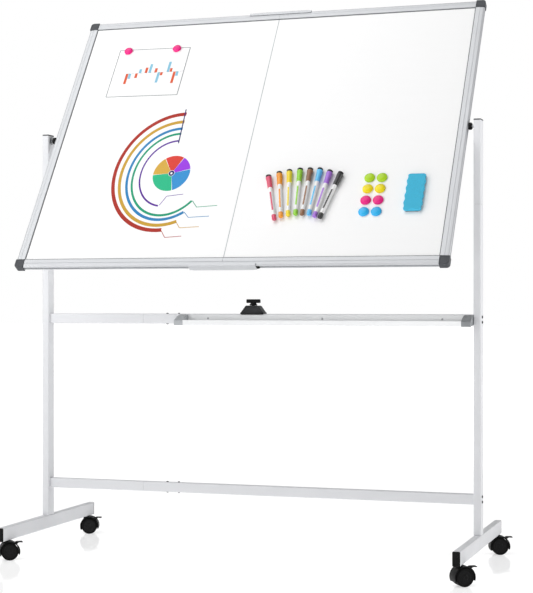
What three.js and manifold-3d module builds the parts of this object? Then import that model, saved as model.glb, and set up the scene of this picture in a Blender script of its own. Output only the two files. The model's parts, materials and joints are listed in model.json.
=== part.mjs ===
// Rolling whiteboard: a two-sided board that turns between two uprights on a wheeled stand.
// Millimetres, +Z up. The writer stands on the -Y side, and +X is to that person's right.
// The origin is on the floor, midway between the uprights and under the board's pivot line.
import * as THREE from 'three';
import { mergeVertices } from 'three/addons/utils/BufferGeometryUtils.js';
import Module from 'manifold-3d';

const wasm = await Module();
wasm.setup();

// ---- driving dimensions ----
const fitGap = 0.3;            // between pieces that touch

const boardWidth = 1219;
const boardHeight = 914;
const restTilt = 34;           // degrees, top leaning away from the writer
const frameThickness = 18;
const frameFace = 25;          // width of the frame's visible face
const frameRim = 9;            // outer hollow part of the frame profile
const frameWall = 1.6;
const grooveDepth = 1.5;       // groove along the frame's outer edge
const grooveHalf = 3;
const frameSoft = 1.6;         // chamfer on the frame's outer corners
const coreThickness = 11;
const skinThickness = 0.4;
const cornerSize = 26;
const cornerProud = 1;         // how far a corner cap stands over the frame
const cornerRadius = 9;
const cornerBevel = 1.5;
const clipLength = 190;
const clipProud = 3;
const clipGrip = 7;            // how far a clip reaches over the frame's faces
const clipWall = 1.4;
const clipSlope = 16;          // run of a clip's sloped ends
const catchLength = 10;
const catchDrop = 2.6;

const pivotHeight = 1185;      // floor to the line the board turns on
const sideGap = 16;            // board edge to upright
const uprightWidth = 20;
const uprightDepth = 38;
const tubeWall = 1.5;
const tubeCorner = 2;
const upperSection = 225;      // length of the upper section of an upright
const capThickness = 3;
const capSkirt = 6;            // part of the cap inside the tube
const pivotBelowTop = 18;      // upright's top, cap included, to the pivot
const spigotLength = 160;

const swingClearance = 3;      // turning board to the latch
const latchHeadHeight = 11;
const latchNeckHeight = 7;
const latchBaseHeight = 23;
const latchBaseHalf = 34;      // half length of the latch base at the beam
const latchTopHalf = 18.5;     // and at its top
const latchDepth = 30;
const latchNeck = 22;          // diameters of the handle's neck and spindle
const latchSpindle = 9;
const latchSocket = 12;        // spindle's depth in the base
const latchHead = [41, 15];

const beamDepth = 19;
const beamHeight = 28;
const beamSleeveLength = 150;
const beamShortLength = 295;   // left piece of each beam
const lowBeamTop = 201;

const trayLength = 842;
const trayDepth = 47;
const trayWall = 1.6;
const trayBackRise = 2;        // tray's back edge below the beam's top
const trayLipTop = 17;         // front lip's top below the beam's top
const trayLipHeight = 15;
const trayFloorRise = 5;       // the floor climbs this much to the back
const trayCapLength = 25;
const trayCapProud = 1;

const footLength = 590;
const footHeight = 38;
const plugProud = 2.5;
const plugDepth = 14;

const pivotShank = 8;          // diameters of the pivot bolt and its collar
const pivotHead = 15;
const pivotHeadThickness = 5;
const pivotReach = 16;         // bolt's reach into the board's edge
const collarDiameter = 20;
const collarLength = 9;
const collarChamfer = [2, 2.5];

const casterInset = 32;        // foot's end to a caster's stem
const casterTrail = 10;
const frontCasterTurn = 34;    // degrees from +X to the trailing side
const rearCasterTurn = 20;
const wheelDiameter = 48;
const wheelWidth = 14;
const wheelGap = 10;           // between the two wheels of a caster
const axleDiameter = 7;
const hubDiameter = 20;        // boss of the hood's web around the axle
const bossDiameter = 19;       // round boss under the foot
const bossHeight = 9;
const stemDiameter = 10;
const stemReach = 28;
const hoodWall = 3;
const hoodClearance = 1.6;
const hoodCrown = 1.1;         // flat top of a caster above its rounded roof
const leverWidth = 16;
const leverThickness = 2.8;
const leverClearance = 4;      // wheel to the lever's pin
const leverPin = 3;
const leverEar = 7;            // ear on the web that carries the pin
const leverSlot = 9;           // slot in the lever for that ear
const leverRise = 4.8;         // lever's top above its pin
const leverReach = 18.5;       // pin to the end of the lever

// ---- values worked out from them ----
const deg = Math.PI / 180;
const wheelRadius = wheelDiameter / 2;
const hoodTop = wheelDiameter + hoodClearance + hoodWall + hoodCrown;
const footBottom = hoodTop + fitGap;
const footTop = footBottom + footHeight;
const uprightOffset = boardWidth / 2 + sideGap + uprightWidth / 2;
const uprightInner = uprightOffset - uprightWidth / 2;
const latchHeight = latchBaseHeight + latchNeckHeight + latchHeadHeight;
const boardSwing = boardHeight / 2 + clipProud;
const beamBelowPivot = boardSwing + swingClearance + latchHeight;
const uprightTop = pivotHeight + pivotBelowTop - capThickness;
const uprightJoint = uprightTop - upperSection;
const midBeamTop = pivotHeight - beamBelowPivot;
const panelThickness = coreThickness + 2 * (skinThickness + fitGap);
const channelHalf = panelThickness / 2 + fitGap;
const panelEdge = frameRim + fitGap;

// ---- materials ----
const paint = (color, roughness, metalness) => new THREE.MeshStandardMaterial({ color, roughness, metalness });
const whitePowder = paint(0xe3e4e6, 0.45, 0.1);
const silverProfile = paint(0xd4d6d9, 0.35, 0.8);
const whiteEnamel = paint(0xfafafa, 0.12, 0.0);
const boardCore = paint(0xc9b48c, 0.9, 0.0);
const slatePlastic = paint(0x55595f, 0.5, 0.0);
const blackPlastic = paint(0x1d1d1f, 0.45, 0.0);
const greyPlastic = paint(0xb9bbbe, 0.5, 0.0);
const zincSteel = paint(0xa9abae, 0.3, 0.9);

// ---- solids ----
function toSolid(geometry) {
  const bare = geometry.index ? geometry.toNonIndexed() : geometry.clone();
  bare.deleteAttribute('normal');
  bare.deleteAttribute('uv');
  const merged = mergeVertices(bare, 1e-4);
  return new wasm.Manifold(new wasm.Mesh({
    numProp: 3,
    vertProperties: new Float32Array(merged.attributes.position.array),
    triVerts: new Uint32Array(merged.index.array),
  }));
}

function toGeometry(solid) {
  const cut = solid.getMesh();
  const geometry = new THREE.BufferGeometry();
  geometry.setAttribute('position', new THREE.BufferAttribute(new Float32Array(cut.vertProperties), 3));
  geometry.setIndex(new THREE.BufferAttribute(new Uint32Array(cut.triVerts), 1));
  geometry.computeVertexNormals();
  return geometry;
}

function combine(geometry, { add = [], cut = [] }) {
  let solid = toSolid(geometry);
  for (const piece of add) solid = solid.add(toSolid(piece));
  for (const piece of cut) solid = solid.subtract(toSolid(piece));
  return toGeometry(solid);
}

function box(low, high) {
  const size = high.map((value, axis) => value - low[axis]);
  const middle = high.map((value, axis) => (value + low[axis]) / 2);
  return new THREE.BoxGeometry(...size).translate(...middle);
}

// A cylinder from one end to the other along x, y or z.
function rod(axis, diameter, from, to, across = [0, 0], segments = 16) {
  const geometry = new THREE.CylinderGeometry(diameter / 2, diameter / 2, to - from, segments);
  const middle = (from + to) / 2;
  if (axis === 'x') return geometry.rotateZ(Math.PI / 2).translate(middle, ...across);
  if (axis === 'y') return geometry.translate(across[0], middle, across[1]);
  return geometry.rotateX(Math.PI / 2).translate(...across, middle);
}

function outline(points) {
  return new THREE.Shape(points.map(([x, y]) => new THREE.Vector2(x, y)));
}

// A rectangle with rounded corners, each corner an arc of a few chords.
function roundedRectangle(width, height, radius, chords = 2) {
  const points = [];
  for (let corner = 0; corner < 4; corner += 1) {
    const sideX = corner === 0 || corner === 3 ? 1 : -1;
    const sideY = corner < 2 ? 1 : -1;
    for (let step = 0; step <= chords; step += 1) {
      const angle = (corner + step / chords) * Math.PI / 2;
      points.push([
        sideX * (width / 2 - radius) + radius * Math.cos(angle),
        sideY * (height / 2 - radius) + radius * Math.sin(angle),
      ]);
    }
  }
  return outline(points);
}

function extrude(shape, from, to, curveSegments = 6) {
  const geometry = new THREE.ExtrudeGeometry(shape, { depth: to - from, bevelEnabled: false, curveSegments });
  return geometry.translate(0, 0, from);
}

// Turn a section drawn in x, y and extruded along z: its length runs along X or Y instead.
// Along X the section's x, y become Y, Z, and along Y they become Z, X.
function alongX(geometry) {
  return geometry.applyMatrix4(new THREE.Matrix4().makeBasis(
    new THREE.Vector3(0, 1, 0), new THREE.Vector3(0, 0, 1), new THREE.Vector3(1, 0, 0)));
}

function alongY(geometry) {
  return geometry.applyMatrix4(new THREE.Matrix4().makeBasis(
    new THREE.Vector3(0, 0, 1), new THREE.Vector3(1, 0, 0), new THREE.Vector3(0, 1, 0)));
}

// Rectangular tube along z, with rounded outer corners.
function tube(width, height, from, to, wall = tubeWall) {
  const shape = roundedRectangle(width, height, tubeCorner);
  shape.holes.push(roundedRectangle(width - 2 * wall, height - 2 * wall, tubeCorner / 2, 1));
  return extrude(shape, from, to);
}

function put(parent, name, geometry, material, position = [0, 0, 0]) {
  const mesh = new THREE.Mesh(geometry, material);
  mesh.name = name;
  mesh.position.set(...position);
  parent.add(mesh);
  return mesh;
}

const whiteboard = new THREE.Group();

// ---- stand: uprights ----
// The upper section stands on the lower one, and a spigot inside joins them.
function addUpright(side, label) {
  const stand = new THREE.Group();
  stand.position.x = side * uprightOffset;
  whiteboard.add(stand);

  const pivotHole = rod('x', pivotShank + 2 * fitGap, -uprightWidth, 0, [0, pivotHeight]);
  if (side < 0) pivotHole.rotateZ(Math.PI);
  const lower = tube(uprightWidth, uprightDepth, footTop + fitGap, uprightJoint - fitGap / 2);
  const upper = tube(uprightWidth, uprightDepth, uprightJoint + fitGap / 2, uprightTop - fitGap);
  put(stand, `upright_lower_${label}`, lower, whitePowder);
  put(stand, `upright_upper_${label}`, combine(upper, { cut: [pivotHole] }), whitePowder);

  const inset = 2 * (tubeWall + fitGap);
  const spigot = tube(uprightWidth - inset, uprightDepth - inset,
    uprightJoint - spigotLength / 2, uprightJoint + spigotLength / 2);
  put(stand, `upright_spigot_${label}`, spigot, zincSteel);

  const lid = extrude(roundedRectangle(uprightWidth, uprightDepth, tubeCorner), uprightTop, uprightTop + capThickness);
  const skirt = extrude(roundedRectangle(uprightWidth - inset, uprightDepth - inset, tubeCorner / 2, 1),
    uprightTop - capSkirt, uprightTop + 1);
  put(stand, `upright_cap_${label}`, combine(lid, { add: [skirt] }), blackPlastic);
}

// ---- stand: feet ----
function addFoot(side, label) {
  const foot = new THREE.Group();
  foot.position.set(side * uprightOffset, 0, footBottom + footHeight / 2);
  whiteboard.add(foot);

  const stemPlace = footLength / 2 - casterInset;
  const stemHoles = [-stemPlace, stemPlace].map((y) =>
    rod('z', stemDiameter + 2 * fitGap, -footHeight, 0, [0, y]));
  const body = alongY(tube(footHeight, uprightWidth, -footLength / 2, footLength / 2));
  put(foot, `foot_${label}`, combine(body, { cut: stemHoles }), whitePowder);

  const inset = 2 * (tubeWall + fitGap);
  for (const [end, place] of [[-1, 'front'], [1, 'rear']]) {
    const face = alongY(extrude(roundedRectangle(footHeight, uprightWidth, tubeCorner), 0, plugProud));
    const root = alongY(extrude(roundedRectangle(footHeight - inset, uprightWidth - inset, tubeCorner / 2, 1),
      -plugDepth, 1));
    const plug = combine(face, { add: [root] });
    if (end < 0) plug.rotateZ(Math.PI);
    put(foot, `foot_plug_${place}_${label}`, plug, blackPlastic, [0, end * (footLength / 2 + fitGap), 0]);
  }
}

// ---- stand: cross beams ----
// Each beam is a short left piece and a long right piece on one inner sleeve.
function addBeam(label, top) {
  const beam = new THREE.Group();
  beam.position.z = top - beamHeight / 2;
  whiteboard.add(beam);

  const end = uprightInner - fitGap;
  const seam = -uprightInner + beamShortLength;
  const inset = 2 * (tubeWall + fitGap);
  const shortPiece = alongX(tube(beamDepth, beamHeight, -end, seam - fitGap / 2));
  const longPiece = alongX(tube(beamDepth, beamHeight, seam + fitGap / 2, end));
  const sleeve = alongX(tube(beamDepth - inset, beamHeight - inset,
    seam - beamSleeveLength / 4, seam + beamSleeveLength * 3 / 4));
  put(beam, `${label}_beam_short`, shortPiece, whitePowder);
  put(beam, `${label}_beam_long`, longPiece, whitePowder);
  put(beam, `${label}_beam_sleeve`, sleeve, zincSteel);
}

// ---- pen tray ----
// The section runs down the beam's face, forward along a rising floor and up the front lip.
const trayBack = -beamDepth / 2 - fitGap;
const trayFront = trayBack - trayDepth;
const trayLipBottom = -trayLipTop - trayLipHeight;
const trayFloorBack = trayLipBottom + trayFloorRise;
const trayEnd = uprightInner - fitGap;
const trayStart = trayEnd - trayLength;

function traySection(grow) {
  const inside = trayWall - grow;
  return outline([
    [trayBack, -trayBackRise + grow],
    [trayBack - inside, -trayBackRise + grow],
    [trayBack - inside, trayFloorBack + trayWall],
    [trayFront + inside, trayLipBottom + trayWall],
    [trayFront + inside, -trayLipTop + grow],
    [trayFront - grow, -trayLipTop + grow],
    [trayFront - grow, trayLipBottom - grow],
    [trayBack, trayFloorBack - grow],
  ]);
}

function addTray() {
  const tray = new THREE.Group();
  tray.position.z = midBeamTop;
  whiteboard.add(tray);

  const from = trayStart + trayCapLength + fitGap;
  const to = trayEnd - trayCapLength - fitGap;
  put(tray, 'pen_tray', alongX(extrude(traySection(0), from, to)), silverProfile);

  // A solid end cap closes the trough, and its front follows the lip's line.
  const cheek = outline([
    [trayBack, -trayBackRise],
    [trayBack - trayDepth * 0.45, -trayBackRise - 4],
    [trayFront - trayCapProud, -trayLipTop + trayCapProud],
    [trayFront - trayCapProud, trayLipBottom - trayCapProud],
    [trayBack, trayFloorBack - trayCapProud],
  ]);
  for (const [side, low, high, material] of [
    ['left', trayStart, trayStart + trayCapLength, greyPlastic],
    ['right', trayEnd - trayCapLength, trayEnd, slatePlastic],
  ]) {
    put(tray, `tray_end_${side}`, alongX(extrude(cheek, low, high)), material);
  }
}

// ---- board latch on the middle beam ----
function addLatch() {
  const latch = new THREE.Group();
  latch.position.z = midBeamTop + fitGap;
  whiteboard.add(latch);

  const side = outline([
    [-latchBaseHalf, 0], [latchBaseHalf, 0], [latchBaseHalf, 2], [latchTopHalf, latchBaseHeight],
    [-latchTopHalf, latchBaseHeight], [-latchBaseHalf, 2],
  ]);
  const block = extrude(side, -latchDepth / 2, latchDepth / 2).rotateX(Math.PI / 2);
  const socketFloor = latchBaseHeight - latchSocket;
  const socket = rod('z', latchSpindle + 2 * fitGap, socketFloor - fitGap, latchBaseHeight + 1);
  put(latch, 'latch_base', combine(block, { cut: [socket] }), blackPlastic);

  const neckBottom = latchBaseHeight + fitGap;
  const neckTop = latchBaseHeight + latchNeckHeight;
  const neck = rod('z', latchNeck, neckBottom, neckTop + 1);
  const shaft = rod('z', latchSpindle, socketFloor, neckBottom + 1);
  const head = extrude(roundedRectangle(...latchHead, 6, 3), neckTop, neckTop + latchHeadHeight - fitGap);
  put(latch, 'latch_handle', combine(neck, { add: [shaft, head] }), slatePlastic);
}

// ---- pivots ----
// A bolt's head sits inside the upright, and its shank carries the collar and the board's edge.
function addPivot(side, label) {
  const pivot = new THREE.Group();
  pivot.position.z = pivotHeight;
  if (side < 0) pivot.rotation.z = Math.PI;
  whiteboard.add(pivot);

  const headStart = uprightInner + tubeWall + fitGap;
  const tip = boardWidth / 2 - pivotReach;
  const shank = rod('x', pivotShank, tip, headStart + 1);
  const head = rod('x', pivotHead, headStart, headStart + pivotHeadThickness, [0, 0], 6);
  put(pivot, `pivot_bolt_${label}`, combine(shank, { add: [head] }), zincSteel);
}

function collarGeometry() {
  const inner = pivotShank / 2 + fitGap;
  const outer = collarDiameter / 2;
  const [near, far] = collarChamfer;
  const profile = [
    [inner, 0], [outer - near, 0], [outer, near], [outer, collarLength - far],
    [outer - far, collarLength], [inner, collarLength], [inner, 0],
  ].map(([x, y]) => new THREE.Vector2(x, y));
  return new THREE.LatheGeometry(profile, 16).rotateZ(-Math.PI / 2);
}

// ---- board ----
const board = new THREE.Group();
board.position.z = pivotHeight;
board.rotation.x = -restTilt * deg;
whiteboard.add(board);

// Frame profile: x runs from the outer edge inwards, y through the thickness.
// A grooved hollow rim carries two lips, and the panel slides in between them.
function frameSection() {
  const half = frameThickness / 2;
  return outline([
    [0, -half + frameSoft], [frameSoft, -half], [frameFace, -half], [frameFace, -channelHalf],
    [frameRim, -channelHalf], [frameRim, channelHalf], [frameFace, channelHalf], [frameFace, half],
    [frameSoft, half], [0, half - frameSoft], [0, grooveHalf], [grooveDepth, grooveHalf],
    [grooveDepth, -grooveHalf], [0, -grooveHalf],
  ]);
}

// A length of the profile with its hollow cut right through.
function frameBar(from, to, cuts = []) {
  const half = frameThickness / 2 - frameWall;
  const hollow = box([grooveDepth + frameWall, -half, from - 1], [frameRim - frameWall, half, to + 1]);
  return combine(extrude(frameSection(), from, to), { cut: [hollow, ...cuts] });
}

function addFrame() {
  const railEnd = boardWidth / 2 - cornerSize - fitGap;
  const stileEnd = boardHeight / 2 - cornerSize - fitGap;
  const pivotBore = rod('x', pivotShank + 2 * fitGap, -1, frameRim + 1);

  for (const [side, label] of [[-1, 'left'], [1, 'right']]) {
    const stile = frameBar(-stileEnd, stileEnd, [pivotBore]);
    if (side > 0) stile.rotateZ(Math.PI);
    put(board, `stile_${label}`, stile, silverProfile, [side * boardWidth / 2, 0, 0]);

    // A rail is the same section with its outer edge turned up or down.
    for (const [level, place] of [[1, 'top'], [-1, 'bottom']]) {
      const rail = frameBar(fitGap / 2, railEnd).rotateY(Math.PI / 2);
      if (level < 0) rail.rotateX(Math.PI);
      if (side < 0) rail.rotateZ(Math.PI);
      put(board, `rail_${place}_${label}`, rail, silverProfile, [0, 0, level * boardHeight / 2]);
    }
  }
}

function addPanels() {
  const edge = boardWidth / 2 - panelEdge;
  const reach = boardHeight / 2 - panelEdge;
  const skinInner = coreThickness / 2 + fitGap;
  const boreDiameter = pivotShank + 4 * fitGap;
  const boreDepth = pivotReach - panelEdge + 2;

  for (const [side, label] of [[-1, 'left'], [1, 'right']]) {
    const from = Math.min(side * fitGap / 2, side * edge);
    const to = Math.max(side * fitGap / 2, side * edge);
    const core = box([from, -coreThickness / 2, -reach], [to, coreThickness / 2, reach]);
    const bore = rod('x', boreDiameter, edge - boreDepth, edge + 1);
    if (side < 0) bore.rotateZ(Math.PI);
    put(board, `core_${label}`, combine(core, { cut: [bore] }), boardCore);
    for (const [face, place] of [[-1, 'front'], [1, 'back']]) {
      const near = Math.min(face * skinInner, face * (skinInner + skinThickness));
      const far = Math.max(face * skinInner, face * (skinInner + skinThickness));
      put(board, `skin_${place}_${label}`, box([from, near, -reach], [to, far, reach]), whiteEnamel);
    }
  }
}

// A corner cap is a block with one rounded outer corner and a pocket for the panel's corner.
function addCorners() {
  const half = frameThickness / 2 + cornerProud;
  const bevel = cornerBevel;
  const shape = new THREE.Shape();
  shape.moveTo(-cornerSize, -cornerSize);
  shape.lineTo(cornerProud - bevel, -cornerSize);
  shape.lineTo(cornerProud - bevel, cornerProud - bevel - cornerRadius);
  shape.absarc(cornerProud - bevel - cornerRadius, cornerProud - bevel - cornerRadius, cornerRadius,
    0, Math.PI / 2, false);
  shape.lineTo(-cornerSize, cornerProud - bevel);
  const inner = extrude(shape, -half, half, 5);
  const wide = new THREE.Shape();
  wide.moveTo(-cornerSize, -cornerSize);
  wide.lineTo(cornerProud, -cornerSize);
  wide.lineTo(cornerProud, cornerProud - cornerRadius);
  wide.absarc(cornerProud - cornerRadius, cornerProud - cornerRadius, cornerRadius, 0, Math.PI / 2, false);
  wide.lineTo(-cornerSize, cornerProud);
  const outer = extrude(wide, -half + bevel, half - bevel, 5);
  const pocket = box([-cornerSize - 1, -cornerSize - 1, -channelHalf], [-frameRim, -frameRim, channelHalf]);
  const cap = combine(inner, { add: [outer], cut: [pocket] });

  for (const [side, label] of [[-1, 'left'], [1, 'right']]) {
    for (const [level, place] of [[1, 'top'], [-1, 'bottom']]) {
      // Turn the top right cap in its own plane to reach the other three corners.
      const turns = { top_right: 0, top_left: 1, bottom_left: 2, bottom_right: 3 }[`${place}_${label}`];
      const copy = cap.clone().rotateZ(turns * Math.PI / 2).rotateX(Math.PI / 2);
      put(board, `corner_${place}_${label}`, copy, slatePlastic,
        [side * boardWidth / 2, 0, level * boardHeight / 2]);
    }
  }
}

// A splice clip wraps the outer edge of a rail across the board's centre seam.
function addClips() {
  const half = clipLength / 2;
  const gripHalf = frameThickness / 2 + fitGap;
  const side = outline([
    [-half, -clipGrip], [half, -clipGrip], [half, 0], [half - clipSlope, clipProud],
    [-half + clipSlope, clipProud], [-half, 0],
  ]);
  const slab = extrude(side, -gripHalf - clipWall, gripHalf + clipWall).rotateX(Math.PI / 2);
  const slot = box([-half - 1, -gripHalf, -clipGrip - 1], [half + 1, gripHalf, fitGap]);
  const clip = combine(slab, { cut: [slot] });
  put(board, 'splice_clip_top', clip, silverProfile, [0, 0, boardHeight / 2]);
  put(board, 'splice_clip_bottom', clip.clone().rotateX(Math.PI), silverProfile, [0, 0, -boardHeight / 2]);

  const catchBlock = box([0, -frameThickness / 4, -catchDrop], [catchLength, frameThickness / 4, 0]);
  put(board, 'clip_catch', catchBlock, blackPlastic, [half + fitGap, 0, -boardHeight / 2 - fitGap]);
}

function addCollars() {
  for (const [side, label] of [[-1, 'left'], [1, 'right']]) {
    const collar = collarGeometry();
    if (side < 0) collar.rotateZ(Math.PI);
    put(board, `pivot_collar_${label}`, collar, blackPlastic, [side * (boardWidth / 2 + fitGap), 0, 0]);
  }
}

// ---- casters ----
// In a caster's own frame x points to the trailing side, y along the axle and z up from the floor.
const hoodInnerRadius = wheelRadius + hoodClearance;
const hoodOuterRadius = hoodInnerRadius + hoodWall;
const leverPivotAngle = 50 * deg;
const leverPivotRadius = wheelRadius + leverClearance;
const casterHalfWidth = wheelGap / 2 + wheelWidth;
const leverPivot = [
  casterTrail + leverPivotRadius * Math.cos(leverPivotAngle),
  wheelRadius + leverPivotRadius * Math.sin(leverPivotAngle),
];

// Ring sector about the axle, in the caster's side view.
function sector(inner, outer, from, to) {
  const shape = new THREE.Shape();
  shape.absarc(casterTrail, wheelRadius, outer, from, to, false);
  shape.absarc(casterTrail, wheelRadius, inner, to, from, true);
  return shape;
}

// Extrude a side view so that it lies between y = -half and y = half.
function acrossAxle(shape, half, segments = 7) {
  return extrude(shape, -half, half, segments).rotateX(Math.PI / 2);
}

// The hood is a fender over both wheels, a web between them and a boss under the foot.
// A slot in the fender lets the brake lever out, and an ear on the web carries its pin.
function hoodGeometry() {
  const fenderStart = -18 * deg;
  const fenderEnd = 205 * deg;
  const slotStart = leverPivotAngle - 12 * deg;
  const slotEnd = leverPivotAngle + 14 * deg;
  const webHalf = wheelGap / 2 - 1;
  const fender = acrossAxle(sector(hoodInnerRadius, hoodOuterRadius, fenderStart, fenderEnd), casterHalfWidth, 10);
  const slot = acrossAxle(sector(hoodInnerRadius - 1, hoodOuterRadius + 1, slotStart, slotEnd),
    leverWidth / 2 + 2 * fitGap, 2);
  const web = acrossAxle(sector(1, hoodInnerRadius + 1, slotEnd, fenderEnd), webHalf);
  const hub = rod('y', hubDiameter, -webHalf, webHalf, [casterTrail, wheelRadius]);
  const ear = rod('y', leverEar, -webHalf, webHalf, leverPivot, 12);
  const earArm = acrossAxle(sector(hoodInnerRadius - 6, leverPivotRadius, leverPivotAngle, slotEnd + 4 * deg),
    webHalf, 3);
  const boss = rod('z', bossDiameter, hoodTop - bossHeight, hoodTop);
  const stem = rod('z', stemDiameter, hoodTop - 1, hoodTop + stemReach);
  const axleHole = rod('y', axleDiameter + 2 * fitGap, -wheelGap, wheelGap, [casterTrail, wheelRadius]);
  const pinHole = rod('y', leverPin + 2 * fitGap, -wheelGap, wheelGap, leverPivot, 12);
  const wheelRoom = [-1, 1].map((side) => {
    const near = side * (wheelGap / 2 - 1);
    const far = side * (casterHalfWidth + 5);
    return rod('y', 2 * hoodInnerRadius, Math.min(near, far), Math.max(near, far), [casterTrail, wheelRadius], 24);
  });
  const shell = toGeometry(toSolid(fender).subtract(toSolid(slot)));
  return combine(shell, {
    add: [web, hub, ear, earArm, boss, stem],
    cut: [...wheelRoom, axleHole, pinHole],
  });
}

// A hooked lever: two cheeks on a pin at its root, and a flat arm that sticks out behind the wheels.
function leverGeometry() {
  const half = leverWidth / 2;
  const [pivotX, pivotZ] = leverPivot;
  const hook = outline([
    [-1.5, -2.5], [2, -3], [6, leverRise - leverThickness], [leverReach, leverRise - leverThickness],
    [leverReach, leverRise], [5, leverRise], [0, 3], [-1.5, 2],
  ].map(([x, z]) => [pivotX + x, pivotZ + z]));
  const slotHalf = wheelGap / 2 - 1 + fitGap;
  const slot = rod('y', leverSlot, -slotHalf, slotHalf, leverPivot, 16);
  const pin = rod('y', leverPin, -half, half, leverPivot, 12);
  const body = toGeometry(toSolid(acrossAxle(hook, half)).subtract(toSolid(slot)));
  return combine(body, { add: [pin] });
}

// Two wheels on one axle, turned as a single profile.
function wheelGeometry() {
  const sides = 20;
  const tread = wheelRadius / Math.cos(Math.PI / sides);
  const inner = wheelGap / 2;
  const outer = casterHalfWidth;
  const half = [
    [axleDiameter / 2, inner], [tread - 2, inner], [tread, inner + 2], [tread, outer - 2],
    [tread - 2, outer], [tread - 7, outer], [tread - 8, outer - 2], [0, outer - 2],
  ];
  const mirrored = [...half].reverse().map(([r, y]) => [r, -y]);
  const profile = [...mirrored, ...half].map(([x, y]) => new THREE.Vector2(x, y));
  return new THREE.LatheGeometry(profile, sides, Math.PI / sides);
}

function addCaster(sideX, end, label, turn) {
  const caster = new THREE.Group();
  caster.position.set(sideX * uprightOffset, end * (footLength / 2 - casterInset), 0);
  caster.rotation.z = turn * deg;
  whiteboard.add(caster);
  put(caster, `caster_hood_${label}`, hoodGeometry(), blackPlastic);
  put(caster, `caster_wheels_${label}`, wheelGeometry(), blackPlastic, [casterTrail, 0, wheelRadius]);
  put(caster, `caster_brake_${label}`, leverGeometry(), blackPlastic);
}

for (const [side, label] of [[-1, 'left'], [1, 'right']]) {
  addUpright(side, label);
  addFoot(side, label);
  addPivot(side, label);
  addCaster(side, -1, `front_${label}`, frontCasterTurn);
  addCaster(side, 1, `rear_${label}`, rearCasterTurn);
}
addBeam('mid', midBeamTop);
addBeam('low', lowBeamTop);
addTray();
addLatch();
addFrame();
addPanels();
addCorners();
addClips();
addCollars();

export default whiteboard;
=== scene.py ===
import json
import math
import bmesh
import bpy
from mathutils import Matrix, Vector


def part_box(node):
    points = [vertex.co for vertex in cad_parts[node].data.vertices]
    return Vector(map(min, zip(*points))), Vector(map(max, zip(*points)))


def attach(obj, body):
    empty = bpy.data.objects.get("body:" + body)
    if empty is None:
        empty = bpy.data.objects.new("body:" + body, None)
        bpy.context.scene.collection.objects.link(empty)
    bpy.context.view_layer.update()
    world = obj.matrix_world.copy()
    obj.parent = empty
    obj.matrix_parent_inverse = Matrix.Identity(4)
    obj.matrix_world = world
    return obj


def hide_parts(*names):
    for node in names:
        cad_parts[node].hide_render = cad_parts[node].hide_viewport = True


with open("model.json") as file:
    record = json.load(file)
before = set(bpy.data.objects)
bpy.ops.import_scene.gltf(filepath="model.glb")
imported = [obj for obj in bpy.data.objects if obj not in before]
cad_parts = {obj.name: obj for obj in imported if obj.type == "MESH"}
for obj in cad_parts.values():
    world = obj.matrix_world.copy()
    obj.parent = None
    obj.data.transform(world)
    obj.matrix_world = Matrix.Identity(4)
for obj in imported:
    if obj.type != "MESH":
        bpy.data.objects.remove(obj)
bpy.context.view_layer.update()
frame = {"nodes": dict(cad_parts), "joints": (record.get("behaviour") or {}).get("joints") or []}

mm = 0.001
fitGap = 0.3  # clearance between pieces that fit together
sides = {"left": -1, "right": 1}
levels = {"top": 1, "bottom": -1}
joints = {joint["name"]: joint for joint in frame["joints"]}

# the camera stands a little to the right of the writer, level with the middle of the stand
viewpoint = {"aim": (38.5, 0.0, 715.5), "distance": 4351.0, "turn": 18.43, "lens": 94.54, "sensor": 36.0,
             "shiftUp": 0.0085, "farthest": 100.0}
cameraData = bpy.data.cameras.new("studioCamera")
cameraData.lens = viewpoint["lens"]
cameraData.sensor_width = viewpoint["sensor"]
cameraData.shift_y = viewpoint["shiftUp"]
cameraData.clip_end = viewpoint["farthest"]
camera = bpy.data.objects.new("studioCamera", cameraData)
bpy.context.scene.collection.objects.link(camera)
viewTurn = math.radians(viewpoint["turn"])
backAlong = Vector((math.sin(viewTurn), -math.cos(viewTurn), 0.0))
camera.location = (Vector(viewpoint["aim"]) + viewpoint["distance"] * backAlong) * mm
camera.rotation_euler = (math.radians(90), 0.0, viewTurn)
bpy.context.scene.camera = camera


# material helpers
def linear(hexColour, shade=1.0):
    channels = []
    for start in (1, 3, 5):
        value = int(hexColour[start:start + 2], 16) / 255
        value = value / 12.92 if value <= 0.04045 else ((value + 0.055) / 1.055) ** 2.4
        channels.append(min(1.0, value * shade))
    return (*channels, 1.0)


def addNode(tree, kind, inputs=None, **settings):
    node = tree.nodes.new("ShaderNode" + kind)
    for name, value in settings.items():
        setattr(node, name, value)
    for name, value in (inputs or {}).items():
        if isinstance(value, bpy.types.NodeSocket):
            tree.links.new(value, node.inputs[name])
        else:
            node.inputs[name].default_value = value
    return node


def startMaterial(name, colour, roughness, metallic=0.0):
    material = bpy.data.materials.new(name)
    material.use_nodes = True
    tree = material.node_tree
    tree.nodes.clear()
    shader = addNode(tree, "BsdfPrincipled", {
        "Base Color": linear(colour), "Roughness": roughness, "Metallic": metallic})
    addNode(tree, "OutputMaterial", {"Surface": shader.outputs["BSDF"]})
    place = addNode(tree, "TexCoord").outputs["Object"]
    return material, tree, shader, place


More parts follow.
